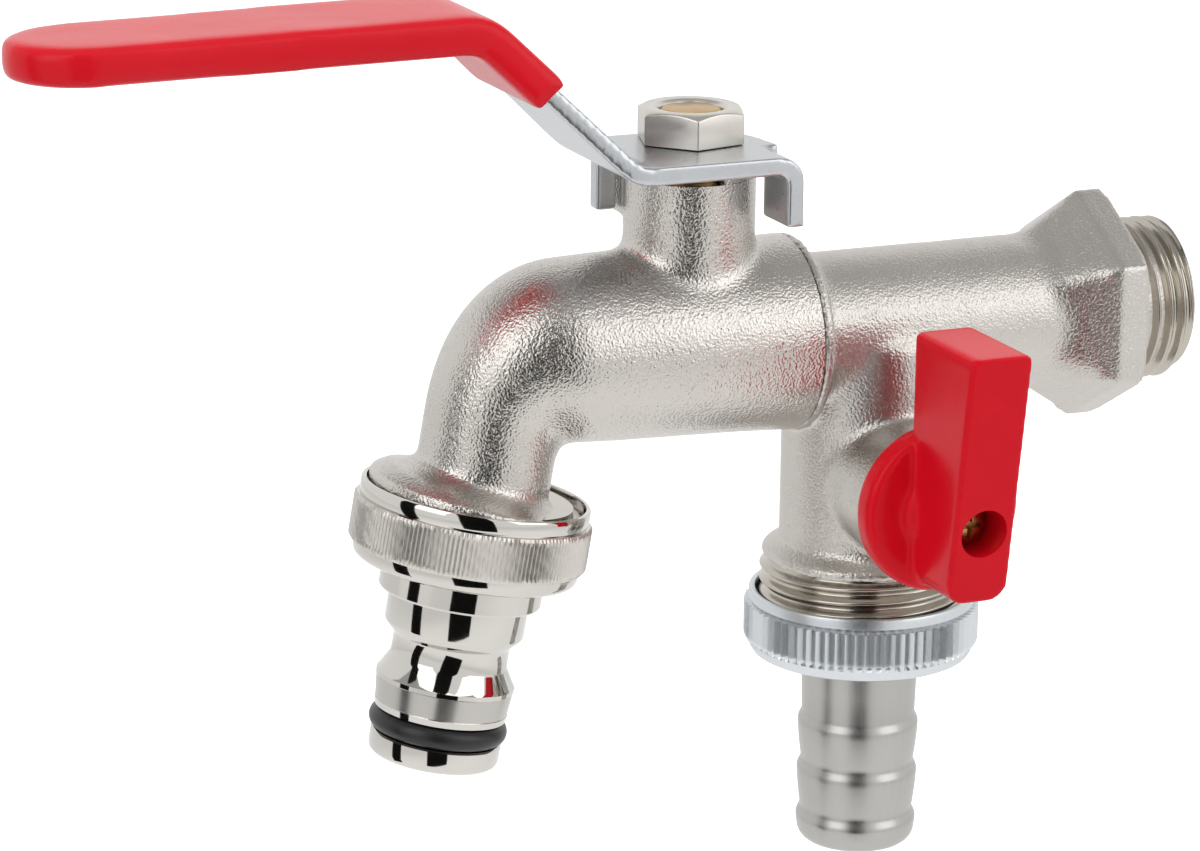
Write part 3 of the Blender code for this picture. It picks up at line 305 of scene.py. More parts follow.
finishes = {
    "satin_nickel": castFinish("castNickel", castNickel["roughness"]),
    "polished_nickel": machinedFinish("polishedNickel", polishedNickel, 3000.0, streak=0.000002),
    "brushed_nickel": brushedFinish("brushedNickel", brushedNickel, 2600.0, 40.0, 0.000012),
    "nickel_nut": brushedFinish("nutNickel", nutNickel, 900.0, 900.0, 0.00001),
    "zinc_plate": brushedFinish("zincPlate", zincPlate, 3000.0, 2200.0, 0.00005),
    "zinc_steel": steelFinish(),
    "raw_brass": machinedFinish("bareBrass", bareBrass, 1500.0),
    "yellow_screw": machinedFinish("screwBrass", bareBrass, 800.0, (math.pi / 2, 0.0, 0.0)),
    "red_vinyl": glossyRed("redVinyl", redVinyl, 90.0, 0.0006),
    "red_paint": glossyRed("redPaint", redPaint, 300.0, 0.00012),
    "black_rubber": plainFinish("blackRubber", blackRubber, 900.0),
    "white_plastic": plainFinish("whiteSeat", whiteSeat, 500.0),
}
machined = {
    "inlet": machinedFinish("inletThreadNickel", machinedNickel, 2500.0, (0.0, math.pi / 2, 0.0)),
    "branch": machinedFinish("branchThreadNickel", machinedNickel, 2500.0),
}
dullCast = castFinish("dullCastNickel", castNickel["dullRoughness"])
satinBand = machinedFinish("satinBand", satinLook, 4000.0, streak=0.000006)
knurlSatin = brushedFinish("knurlSatin", knurlLook, 4200.0, 2600.0, 0.00012)
print("finishes made:", len(finishes) + len(machined) + 3)

for part in frame["record"]["subparts"]:
    node = frame["nodes"][part["node"]]
    node.data.materials.clear()
    node.data.materials.append(finishes[part["material_slot"]])
print("frame pieces dressed")


def clearSelection():
    if bpy.context.mode != "OBJECT":
        bpy.ops.object.mode_set(mode="OBJECT")
    bpy.ops.object.select_all(action="DESELECT")


def take(piece):
    clearSelection()
    piece.select_set(True)
    bpy.context.view_layer.objects.active = piece


def newest(name):
    piece = bpy.context.object
    piece.name = name
    return piece


def editAll(piece):
    take(piece)
    bpy.ops.object.mode_set(mode="EDIT")
    bpy.ops.mesh.select_all(action="SELECT")


def closeUp(piece):
    editAll(piece)
    bpy.ops.mesh.remove_doubles(threshold=mergeDistance)
    bpy.ops.mesh.normals_make_consistent(inside=False)
    bpy.ops.object.mode_set(mode="OBJECT")


def placed(piece, place):
    take(piece)
    piece.matrix_world = place
    bpy.ops.object.transform_apply(location=True, rotation=True, scale=True)
    return piece


def frameAt(origin, zWay, yWay):
    z = Vector(zWay).normalized()
    x = Vector(yWay).cross(z).normalized()
    turn = Matrix((x, z.cross(x), z)).transposed().to_4x4()
    turn.translation = Vector(origin) * mm
    return turn


mergeDistance = 0.000001
stemFrame = frameAt((stemX, 0.0, 0.0), (0, 0, 1), (0, 1, 0))
branchFrame = frameAt((branchX, 0.0, 0.0), (0, 0, -1), (0, -1, 0))
handleFrame = frameAt((branchX, 0.0, branchStemZ), (0, -1, 0), (0, 0, 1))
inletFrame = frameAt((0.0, 0.0, 0.0), (1, 0, 0), (0, 1, 0))
spoutFrame = frameAt((spoutX, 0.0, 0.0), spoutDown, (0, 1, 0))


def arcPoints(centre, radius, start, end, count):
    angles = [math.radians(start + (end - start) * i / (count - 1)) for i in range(count)]
    return [(centre[0] + radius * math.cos(a), centre[1] + radius * math.sin(a)) for a in angles]


def eased(share):
    return share * share * (3 - 2 * share)


# a plane merged to one point, then drawn out along the outline point by point
def drawn(name, points):
    clearSelection()
    bpy.ops.mesh.primitive_plane_add(size=mm)
    piece = newest(name)
    editAll(piece)
    bpy.ops.mesh.merge(type="CENTER")
    bpy.ops.transform.translate(value=Vector(points[0]) * mm)
    for first, second in zip(points, points[1:]):
        step = (Vector(second) - Vector(first)) * mm
        bpy.ops.mesh.extrude_region_move(TRANSFORM_OT_translate={"value": step})
    return piece


# outline of (radius, height) spun about the local Z
def spun(name, outline, steps=96):
    ring = outline[0][0] > 0
    points = [(radius, 0.0, height) for radius, height in outline]
    piece = drawn(name, points + points[:1] if ring else points)
    bpy.ops.mesh.select_all(action="SELECT")
    bpy.ops.mesh.spin(steps=steps, angle=math.tau, center=(0, 0, 0), axis=(0, 0, 1))
    closeUp(piece)
    return piece


def rod(name, radius, low, high, steps=96):
    return spun(name, [(0, low), (radius, low), (radius, high), (0, high)], steps)


# outline of (x, y) drawn out along the local Z
def prismOf(name, outline, low, high):
    points = [(x, y, low) for x, y in outline]
    piece = drawn(name, points + points[:1])
    bpy.ops.mesh.select_all(action="SELECT")
    bpy.ops.mesh.remove_doubles(threshold=mergeDistance)
    bpy.ops.mesh.edge_face_add()
    bpy.ops.mesh.extrude_region_move(TRANSFORM_OT_translate={"value": (0, 0, (high - low) * mm)})
    closeUp(piece)
    return piece


def boxOf(name, low, high):
    clearSelection()
    bpy.ops.mesh.primitive_cube_add(size=1.0)
    piece = newest(name)
    size = [b - a for a, b in zip(low, high)]
    middle = [(a + b) / 2 for a, b in zip(low, high)]
    return placed(piece, Matrix.Translation(Vector(middle) * mm) @ Matrix.Diagonal((*[v * mm for v in size], 1.0)))


# round tube through (place, radius) stations
def tubeOf(name, stations, sides=20):
    clearSelection()
    data = bpy.data.curves.new(name, "CURVE")
    data.dimensions = "3D"
    data.bevel_depth = mm
    data.bevel_resolution = sides
    data.use_fill_caps = True
    spline = data.splines.new("POLY")
    spline.points.add(len(stations) - 1)
    for point, (place, radius) in zip(spline.points, stations):
        point.co = (*(Vector(place) * mm), 1.0)
        point.radius = radius
    take(linked(name, data))
    bpy.ops.object.convert(target="MESH")
    piece = bpy.context.object
    closeUp(piece)
    return piece


def finished(piece, kind, **settings):
    take(piece)
    step = piece.modifiers.new(kind.lower(), kind)
    for key, value in settings.items():
        setattr(step, key, value)
    bpy.ops.object.modifier_apply(modifier=step.name)


def combined(piece, other, operation, solver="MANIFOLD"):
    finished(piece, "BOOLEAN", object=other, operation=operation, solver=solver)
    bpy.data.objects.remove(other, do_unlink=True)


def cutAway(piece, *cutters):
    for cutter in cutters:
        combined(piece, cutter, "DIFFERENCE")


# several overlapping shapes made one skin, its inner corners filled and its edges eased
def castTogether(name, shapes, grain, rounds):
    clearSelection()
    for shape in shapes:
        shape.select_set(True)
    bpy.context.view_layer.objects.active = shapes[0]
    if len(shapes) > 1:
        bpy.ops.object.join()
    piece = newest(name)
    finished(piece, "REMESH", mode="VOXEL", voxel_size=grain * mm)
    finished(piece, "SMOOTH", factor=0.5, iterations=rounds)
    return piece


# more easing where a test on a vertex's place, in millimetres, says so
def easedWhere(piece, test, rounds):
    group = piece.vertex_groups.new(name="eased")
    chosen = [vertex.index for vertex in piece.data.vertices if test(vertex.co / mm)]
    group.add(chosen, 1.0, "REPLACE")
    finished(piece, "SMOOTH", factor=0.5, iterations=rounds, vertex_group="eased")
    piece.vertex_groups.clear()


def dressed(piece, body, slot, *nodes, finish=None, angle=38.0):
    take(piece)
    bpy.ops.object.shade_smooth_by_angle(angle=math.radians(angle))
    piece.data.materials.clear()
    piece.data.materials.append(finish or finishes[slot])
    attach(piece, body)
    if nodes:
        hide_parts(*nodes)
    print("made", piece.name, len(piece.data.polygons), "faces")


# second finish on the faces between two heights and outside a radius, in the piece's own frame
def faced(piece, finish, place, band):
    low, high, inner = band
    piece.data.materials.append(finish)
    back = place.inverted()
    for face in piece.data.polygons:
        x, y, z = back @ face.center / mm
        if low < z < high and math.hypot(x, y) > inner:
            face.material_index = len(piece.data.materials) - 1


# elbowed casting with the lever's neck
spoutLook = {
    "seam": 13.1,
    "body": 12.5,
    "bodyMiddle": (6.0, 12.15, 0.2),
    "bodyLow": (-5.0, 11.95, 0.35),
    "bend": 11.6,
    "drop": 8.5,
    "bendRadius": 9.5,
    "shift": (0.55, 0.0, 0.3),  # casting's middle line off the joint's axis
    "straightEnd": 14.1,
    "innerCorner": (-15.8, -12.2, 3.0),
    "bendSteps": 24,
    "flareStart": 14.3,
    "flareEnd": 16.6,
    "flare": 13.5,
    "flarePower": 3.2,
    "end": 22.0,
    "waterway": 5.7,
    "chamber": (10.7, -9.6),
    "neck": 8.2,
    "neckTop": 21.4,
    "neckReach": 3.0,  # how far the neck's root is eased from each surface
    "neckRounds": 70,
    "cornerSpread": 0.6,
    "cornerRounds": 140,
    "lug": ((-6.9, 4.1, 15.4), (5.8, 10.0, 20.8)),
    "stemHole": [(0, 4), (6.3, 4), (6.3, 11.35), (4.3, 11.35), (4.3, 16.0), (6.5, 16.0)],
    "grain": 0.4,
    "rounds": 9,
}


def spoutPath(distances):
    look = spoutLook
    turn = math.pi / 2 - math.asin(-spoutDown.x)
    reach = look["bendRadius"] * math.tan(turn / 2)
    shift = Vector(look["shift"])
    middle = Vector((spoutX + reach, 0.0, -look["bendRadius"])) + shift
    path = []
    for i in range(look["bendSteps"] + 1):
        share = i / look["bendSteps"]
        angle = turn * share
        place = middle + look["bendRadius"] * Vector((-math.sin(angle), 0.0, math.cos(angle)))
        path.append((place, look["bend"] + (look["drop"] - look["bend"]) * eased(share)))
    straight = Vector((spoutX, 0.0, 0.0)) + look["straightEnd"] * spoutDown
    path.append((straight + shift, look["drop"]))
    for distance, radius in distances:
        kept = max(0.0, (look["flareEnd"] - distance) / (look["flareEnd"] - look["flareStart"]))
        path.append((Vector((spoutX, 0.0, 0.0)) + distance * spoutDown + kept * shift, radius))
    return path


def spoutCasting():
    look = spoutLook
    start, end, wide = look["flareStart"], look["flareEnd"], look["flare"]
    flare = []
    for i in range(9):
        share = i / 8
        radius = look["drop"] + (wide - look["drop"]) * share ** look["flarePower"]
        flare.append((start + (end - start) * share, radius))
    flare.append((look["end"], wide))
    stations = [((stemX + look["seam"] + 3.0, 0, 0), look["body"])]
    stations += [((stemX + reach, 0, lift), radius) for reach, radius, lift in (look["bodyMiddle"], look["bodyLow"])]
    shell = tubeOf("spoutTube", stations + spoutPath(flare))
    # the body's underside runs level into the drop, which keeps the inner corner tight
    bendStart, bendRadius = spoutPath([])[0]
    level = Vector((spoutX + look["shift"][0], 0.0, bendStart.z - bendRadius + look["drop"]))
    straightBody = tubeOf("bodyTube", stations[-1:] + [(bendStart, bendRadius), (level, look["drop"])])
    neck = placed(rod("neckShape", look["neck"], 2.0, look["neckTop"] + 1.5), stemFrame)
    lug = placed(boxOf("lugShape", *look["lug"]), stemFrame)
    piece = castTogether("spoutCasting", [shell, straightBody, neck, lug], look["grain"], look["rounds"])

    def atNeckRoot(place):
        fromNeck = math.hypot(place.x - stemX, place.y) - look["neck"]
        fromBody = math.hypot(place.y, place.z) - look["body"]
        return place.z > 0 and abs(fromNeck) < look["neckReach"] and abs(fromBody) < look["neckReach"]

    cornerX, cornerZ, cornerReach = look["innerCorner"]

    def atInnerCorner(place):
        reach = cornerReach + look["cornerSpread"] * abs(place.y)
        return math.hypot(place.x - stemX - cornerX, place.z - cornerZ) < reach

    easedWhere(piece, atNeckRoot, look["neckRounds"])
    easedWhere(piece, atInnerCorner, look["cornerRounds"])
    radius, low = look["chamber"]
    chamber = [(0, low), (radius, low), (radius, look["seam"]), (16.0, look["seam"]), (16.0, 18.0), (0, 18.0)]
    seamFrame = frameAt((stemX, 0, 0), (1, 0, 0), (0, 1, 0))
    hole = look["stemHole"] + [(6.5, look["neckTop"]), (12.0, look["neckTop"]), (12.0, 24.0), (0, 24.0)]
    water = [((stemX + low + 2.0, 0, 0), look["waterway"])]
    water += [(place, look["waterway"]) for place, _ in spoutPath([(look["flareEnd"], 0), (look["end"] + 2, 0)])]
    cutAway(
        piece,
        placed(spun("chamberCut", chamber), seamFrame),
        placed(spun("stemCut", hole), stemFrame),
        tubeOf("waterCut", water),
    )
    dressed(piece, "tap_body", "satin_nickel", "spout_body")


# raised stop on top of the neck
stopLook = {"outer": 8.1, "inner": 6.6, "from": -82, "to": 38, "low": 20.9, "top": 22.9, "ease": 0.35}


def stopStub():
    look = stopLook
    outline = arcPoints((0, 0), look["outer"], look["from"], look["to"], 19)
    outline += arcPoints((0, 0), look["inner"], look["to"], look["from"], 19)
    piece = placed(prismOf("stopStub", outline, look["low"], look["top"]), stemFrame)
    finished(piece, "BEVEL", width=look["ease"] * mm, segments=3, limit_method="ANGLE")
    dressed(piece, "tap_body", "satin_nickel")


# straight casting with the hexagon, the branch and its boss
inletLook = {
    "collar": (-54.3, -52.7, 12.4, 0.8),
    "stub": (-57.9, 10.4),
    "pipe": 9.6,
    "taper": (-20.3, -13.0, 10.3),
    "hexHigh": -9.0,
    "hexCorner": 14.9,
    "hexFlats": 26.0,
    "branch": 10.8,
    "branchFlare": (27.6, 29.5, 12.95),
    "branchEnd": 37.9,
    "boss": 8.7,
    "bossFace": 17.8,
    "bore": 6.5,
    "stubBore": 5.7,
    "chamber": (8.4, 10.6),
    "upperBore": 4.4,
    "stemHole": (4.1, 5.1, 10.65),
    "grain": 0.4,
    "rounds": 4,
    "saddleReach": 2.6,
    "saddleRounds": 45,
    "rootRounds": 90,
}


def inletCasting():
    look = inletLook
    low, high, radius, ease = look["collar"]
    stub, stubRadius = look["stub"]
    outline = [(0, stub), (stubRadius, stub), (stubRadius, low), (radius, low)]
    outline += arcPoints((radius - ease, high - ease), ease, 0, 90, 7)
    outline += [(look["pipe"] + 0.7, high), (look["pipe"], high + 0.9), (look["pipe"], -4.0), (0, -4.0)]
    pipe = placed(spun("pipeShape", outline), inletFrame)
    start, end, small = look["taper"]
    corner = look["hexFlats"] / math.sqrt(3)
    face = look["hexHigh"]
    outline = [(0, start), (small, start), (corner, end), (corner, face), (0, face)]
    hexagon = spun("hexShape", outline, 6)
    limit = look["hexCorner"]
    turned = [(0, start - 1), (limit, start - 1), (limit, face - 0.6), (limit - 1.2, face + 0.1), (0, face + 0.1)]
    combined(hexagon, spun("hexTurned", turned), "INTERSECT", "EXACT")
    placed(hexagon, inletFrame)
    start, end, flared = look["branchFlare"]
    branch = look["branch"]
    outline = [(0, 0), (branch - 1, 0), (branch, 1), (branch, start), (branch + 0.15, start + 0.5), (flared, end)]
    lip = end + 0.9
    outline += [(flared, lip), (flared - 1.3, lip), (flared - 1.3, look["branchEnd"]), (0, look["branchEnd"])]
    branchShape = placed(spun("branchShape", outline), branchFrame)
    boss = placed(rod("bossShape", look["boss"], 1.0, look["bossFace"]), handleFrame)
    piece = castTogether("inletCasting", [pipe, hexagon, branchShape, boss], look["grain"], look["rounds"])

    # near the branch's skin and another round one's
    def atMeeting(place, fromOther):
        fromBranch = math.hypot(place.x - branchX, place.y) - branch
        return max(abs(fromOther), abs(fromBranch)) < look["saddleReach"]

    def onSaddle(place):
        return atMeeting(place, math.hypot(place.y, place.z) - look["pipe"])

    def atBossRoot(place):
        fromBoss = math.hypot(place.x - branchX, place.z - branchStemZ) - look["boss"]
        return place.y < 0 and atMeeting(place, fromBoss)

    def atHexRoot(place):
        root, edge, _ = look["taper"]
        return root - 2.0 < place.x < edge - 1.6 and math.hypot(place.y, place.z) < look["hexCorner"]

    easedWhere(piece, onSaddle, look["saddleRounds"])
    easedWhere(piece, atBossRoot, look["saddleRounds"])
    easedWhere(piece, atHexRoot, look["rootRounds"])
    bore = [(0, stub - 2), (look["stubBore"], stub - 2), (look["stubBore"], stub + 2)]
    bore += [(look["bore"], stub + 2), (look["bore"], 2), (0, 2)]
    chamber, chamberTop = look["chamber"]
    upper = look["upperBore"]
    chamberLine = [(0, -2), (upper, -2), (upper, chamberTop), (chamber, chamberTop), (chamber, 40), (0, 40)]
    hole, collarHole, collarEnd = look["stemHole"]
    stemLine = [(0, 0), (collarHole, 0), (collarHole, collarEnd), (hole, collarEnd), (hole, 20), (0, 20)]
    cutAway(
        piece,
        placed(spun("boreCut", bore), inletFrame),
        placed(spun("chamberCut", chamberLine), branchFrame),
        placed(spun("stemCut", stemLine), handleFrame),
    )
    dressed(piece, "tap_body", "satin_nickel", "inlet_body", finish=dullCast)


# pipe threads: a fine sleeve whose crests run round it in a helix
threadLook = {"pitch": 1.814, "depth": 1.0, "perPitch": 14, "steps": 108, "sharpness": 1.3}
inletThreadLook = {"bore": 6.5, "crest": 10.48, "low": -9.0, "start": -7.4, "end": -0.2, "fade": 0.9, "runOut": 1.0}
branchThreadLook = {"bore": 8.4, "crest": 13.22, "low": 30.3, "start": 30.6, "end": 37.7, "fade": 0.6, "runOut": 0.9}
spoutThreadLook = {"bore": 5.8, "crest": 13.1, "low": 17.0, "start": 17.6, "end": 22.0, "fade": 0.6, "runOut": 0.6}


def threadedSleeve(name, look, place, finish):
    pitch, depth = threadLook["pitch"], threadLook["depth"]
    bore, crest, low, end = look["bore"], look["crest"], look["low"], look["end"]
    count = int((end - low) / pitch * threadLook["perPitch"])
    heights = [low + (end - low) * i / count for i in range(count + 1)]
    outline = [(bore, low)] + [(crest, height) for height in heights] + [(bore, end)]
    piece = spun(name, outline, threadLook["steps"])
    for vertex in piece.data.vertices:
        x, y, z = vertex.co / mm
        radius = math.hypot(x, y)
        if radius < crest - 0.01:
            continue
        phase = (z / pitch - math.atan2(y, x) / math.tau) % 1.0
        ridge = (0.5 + 0.5 * math.cos(phase * math.tau)) ** threadLook["sharpness"]
        rise = min(1.0, max(0.0, (z - look["start"]) / look["fade"]))
        chamfer = min(1.0, max(0.0, (end - z) / look["runOut"]))
        wanted = crest - depth + depth * ridge * rise * min(1.0, 0.35 + chamfer) - 0.45 * (1.0 - chamfer)
        vertex.co.x = x / radius * wanted * mm
        vertex.co.y = y / radius * wanted * mm
    placed(piece, place)
    dressed(piece, "tap_body", "satin_nickel", finish=finish, angle=60.0)


# pressed lever: a bent sheet with two stop tabs turned down
leverLook = {
    "underside": 23.2,
    "thickness": 2.3,
    "halfWidth": 13.5,
    "headEnd": 9.3,
    "bend": 12.5,
    "angle": 44.5,
    "rise": 17.6,
    "bendRadius": 4.5,
    "reach": 80.0,
    "topHalfWidth": 8.0,
    "tipHalfWidth": 6.6,
    "droop": 0.9,
    "tabWidth": 7.4,
    "tabLength": 6.5,
    "tabRadius": 2.2,
    "endRound": (5.8, 13.0),
    "back": 6.0,
    "armBack": 9.0,
    "backTab": (-9.9, -7.2),
    "backTabEdge": 8.2,
    "backTabLength": 7.2,
    "notchEnd": -14.5,
    "hole": (4.3, 3.5),
    "narrowing": (-45.0, 35.0),  # where the blade starts to narrow, and over what length
    "steps": (40, 8, 24, 40),  # along the head, each bend, the arm and the blade
    "grain": 0.3,
    "rounds": 12,
}


# middle line of the sheet as (x, z), from the head to the tip, relative to the stem
def leverLine(reach):
    look = leverLook
    angle = math.radians(look["angle"])
    middle = look["underside"] + look["thickness"] / 2
    radius = look["bendRadius"]
    cut = radius * math.tan(angle / 2)
    top = (-look["bend"] - look["rise"] / math.tan(angle), middle + look["rise"])
    headSteps, bendSteps, armSteps, bladeSteps = look["steps"]
    line = []
    for i in range(headSteps):
        line.append((look["headEnd"] + (cut - look["bend"] - look["headEnd"]) * i / headSteps, middle))
    for i in range(bendSteps + 1):
        a = angle * i / bendSteps
        line.append((-look["bend"] + cut - radius * math.sin(a), middle + radius * (1 - math.cos(a))))
    low = line[-1]
    high = (top[0] - cut + radius * math.sin(angle), top[1] - radius * (1 - math.cos(angle)))
    for i in range(1, armSteps):
        line.append(tuple(a + (b - a) * i / armSteps for a, b in zip(low, high)))
    for i in range(bendSteps + 1):
        a = angle * (1 - i / bendSteps)
        line.append((top[0] - cut + radius * math.sin(a), top[1] - radius * (1 - math.cos(a))))
    start = line[-1][0]
    for i in range(1, bladeSteps + 1):
        share = math.sin(math.pi / 2 * i / bladeSteps)
        line.append((start + (-reach - start) * share, top[1] - look["droop"] * share))
    return line


# half the sheet's width at a point of that line, narrowing up the arm and on to the tip
def halfWidthAt(x, z, tipHalf, wall=0.0):
    look = leverLook
    share = min(1.0, (z - look["underside"] - look["thickness"] / 2) / look["rise"])
    half = look["halfWidth"] + (look["topHalfWidth"] - look["halfWidth"]) * share + wall
    start, length = look["narrowing"]
    if x < start:
        half += (tipHalf - half) * min(1.0, (start - x) / length)
    return half


# grid mapped on to the line, one row of points across the sheet for each station, then thickened
def sheetOf(name, line, widths, thickness, across=12):
    clearSelection()
    bpy.ops.mesh.primitive_grid_add(x_subdivisions=len(line) - 1, y_subdivisions=across, size=2.0)
    piece = newest(name)
    for vertex in piece.data.vertices:
        station = round((vertex.co.x + 1) / 2 * (len(line) - 1))
        x, z = line[station]
        low, high = widths[station]
        vertex.co = Vector((x, low + (high - low) * (vertex.co.y + 1) / 2, z)) * mm
    finished(piece, "SOLIDIFY", thickness=thickness * mm, offset=0.0)
    closeUp(piece)
    return piece


def leverPlate():
    look = leverLook
    line = leverLine(look["reach"])
    middle = line[0][1]
    widths = []
    for x, z in line:
        half = halfWidthAt(x, z, look["tipHalfWidth"])
        far = min(half, look["armBack"])
        if x > look["notchEnd"]:
            out = min(1.0, (x - look["notchEnd"]) / (look["backTab"][0] - look["notchEnd"]))
            far += (look["back"] - far) * eased(out)
        endLong, endWide = look["endRound"]
        inside = (x - look["headEnd"] + endLong) / endLong
        if inside > 0:
            far -= endWide * (1.0 - math.sqrt(max(0.0, 1.0 - inside ** 2)))
        widths.append((-half, far))
    shapes = [sheetOf("leverSheet", line, widths, look["thickness"])]
    bend = look["tabRadius"]
    outer = look["headEnd"] - look["thickness"] / 2
    backEdge = look["backTabEdge"] - look["thickness"] / 2
    endSides = (-look["halfWidth"], look["tabWidth"] - look["halfWidth"])
    backSides = tuple(-x for x in reversed(look["backTab"]))
    tabs = [(outer, look["tabLength"], endSides, 0.0), (backEdge, look["backTabLength"], backSides, math.pi / 2)]
    for reach, length, sides, turn in tabs:
        tab = [(reach - bend - 3.0, middle), (reach - bend, middle)]
        for i in range(1, 8):
            a = math.pi / 2 * i / 7
            tab.append((reach - bend + bend * math.sin(a), middle - bend * (1 - math.cos(a))))
        tab.append((reach, look["underside"] - length))
        strip = sheetOf("tabSheet", tab, [sides] * len(tab), look["thickness"])
        shapes.append(placed(strip, Matrix.Rotation(turn, 4, "Z")))
    # the head's own edge is cut back where the tab's bend takes its place
    edge = boxOf("headEdge", (outer - bend + 0.3, -16.0, middle - 4.0), (14.0, endSides[1], middle + 4.0))
    cutAway(shapes[0], edge)
    piece = castTogether("leverPlate", shapes, look["grain"], look["rounds"])
    placed(piece, stemFrame)
    radius, flat = look["hole"]
    side = math.degrees(math.asin(flat / radius))
    outline = arcPoints((0, 0), radius, -side, side, 9) + arcPoints((0, 0), radius, 180 - side, 180 + side, 9)
    cutAway(piece, placed(prismOf("leverHole", outline, look["underside"] - 2, look["underside"] + 5), stemFrame))
    dressed(piece, "lever", "zinc_steel", "main_lever", angle=50.0)


# dipped sleeve on the blade
gripLook = {"startRise": 9.5, "wall": 1.25, "tip": -86.6, "tipHalf": 9.0, "grain": 0.4, "rounds": 70}


def leverGrip():
    look = gripLook
    full = leverLine(-look["tip"])
    middle = full[0][1]
    line = [station for station in full if station[1] > middle + look["startRise"]]
    thickness = leverLook["thickness"] + 2 * look["wall"]
    widths = []
    for x, z in line:
        half = halfWidthAt(x, z, look["tipHalf"], look["wall"])
        inside = look["tip"] + look["tipHalf"] - x
        if inside > 0:
            half = max(0.6, math.sqrt(max(0.0, half ** 2 - inside ** 2)))
        widths.append((-half, min(half, leverLook["armBack"] + look["wall"])))
    sheet = sheetOf("gripSheet", line, widths, thickness, 16)
    piece = castTogether("leverGrip", [sheet], look["grain"], look["rounds"])
    placed(piece, stemFrame)
    dressed(piece, "lever", "red_vinyl", "lever_grip", angle=80.0)


# hexagon nut, its top turned to a cone and countersunk
nutLook = {
    "flats": 12.3,
    "base": 25.6,
    "top": 29.8,
    "corner": -106.7,
    "hole": 4.05,
    "sink": 4.15,
    "sinkDepth": 0.5,
    "ease": 0.14,
}


def leverNut():
    look = nutLook
    base, top, hole = look["base"], look["top"], look["hole"]
    radius = look["flats"] / math.sqrt(3)
    corners = arcPoints((0, 0), radius, look["corner"], look["corner"] + 300, 6)
    piece = prismOf("leverNut", corners, base, top)
    inner = look["flats"] / 2 - 0.25
    slope = (radius - inner) * 0.55
    crown = [(0, base - 1), (radius - 0.4, base - 1), (radius + 0.3, base + 0.25)]
    crown += [(radius + 0.3, top - slope - 0.1), (inner, top + 0.02), (0, top + 0.02)]
    combined(piece, spun("nutCrown", crown), "INTERSECT", "EXACT")
    mouth = look["sink"] + 0.35
    outline = [(0, base - 2), (hole, base - 2), (hole, top - look["sinkDepth"])]
    outline += [(mouth, top + 0.05), (mouth, top + 2), (0, top + 2)]
    combined(piece, spun("nutHole", outline), "DIFFERENCE", "EXACT")
    placed(piece, stemFrame)
    finished(piece, "BEVEL", width=look["ease"] * mm, segments=2, limit_method="ANGLE", angle_limit=math.radians(30))
    dressed(piece, "lever", "nickel_nut", "lever_nut")


# brass stem with two flats through the lever and the nut
stemLook = {
    "radius": 3.95,
    "collar": (6.0, 9.05, 11.05),
    "flats": 3.2,
    "flatsLow": 22.3,
    "top": 29.55,
    "tongue": ((-4.8, -1.5, 6.55), (4.8, 1.5, 9.5)),
}


def stemTop():
    look = stemLook
    collar, low, high = look["collar"]
    outline = [(0, low), (collar, low), (collar, high), (look["radius"], high), (look["radius"], look["top"] - 0.5)]
    outline += [(look["radius"] - 0.5, look["top"]), (0, look["top"])]
    piece = spun("valveStem", outline, 64)
    for side in (-1, 1):
        near, far = sorted((side * look["flats"], side * 9.0))
        combined(piece, boxOf("flatCut", (-9, near, look["flatsLow"]), (9, far, 35)), "DIFFERENCE", "EXACT")
    combined(piece, boxOf("tongueShape", *look["tongue"]), "UNION", "EXACT")
    placed(piece, stemFrame)
    finished(piece, "BEVEL", width=0.12 * mm, segments=2, limit_method="ANGLE", angle_limit=math.radians(40))
    dressed(piece, "lever", "raw_brass", "main_stem")


# gland ring that shows between the neck and the lever
glandLook = {"inner": 4.35, "outer": 6.2, "low": 18.6, "top": 22.2, "ease": 0.45}


def glandRing():
    look = glandLook
    inner, outer, top, ease = look["inner"], look["outer"], look["top"], look["ease"]
    outline = [(inner, look["low"]), (outer, look["low"]), (outer, top - ease)]
    outline += [(outer - ease, top), (inner + 0.2, top), (inner, top - 0.2)]
    piece = spun("glandRing", outline, 72)
    combined(piece, boxOf("glandSlot", (-9, -0.7, top - 0.9), (9, 0.7, top + 1)), "DIFFERENCE", "EXACT")
    placed(piece, stemFrame)
    dressed(piece, "tap_body", "raw_brass", "gland_nut")


# handle of the branch's valve: disk, bar and the hub between them
handleLook = {
    "disk": 10.5,
    "back": 18.1,
    "front": 22.0,
    "barHalf": 4.1,
    "barTop": 22.9,
    "barBottom": 9.2,
    "frontLow": 31.0,
    "lean": 8.4,
    "topRound": 0.9,
    "footRound": 2.5,
    "recess": 3.1,
    "recessDepth": 6.0,
    "grain": 0.3,
    "rounds": 11,
    "hubRounds": 30,
}


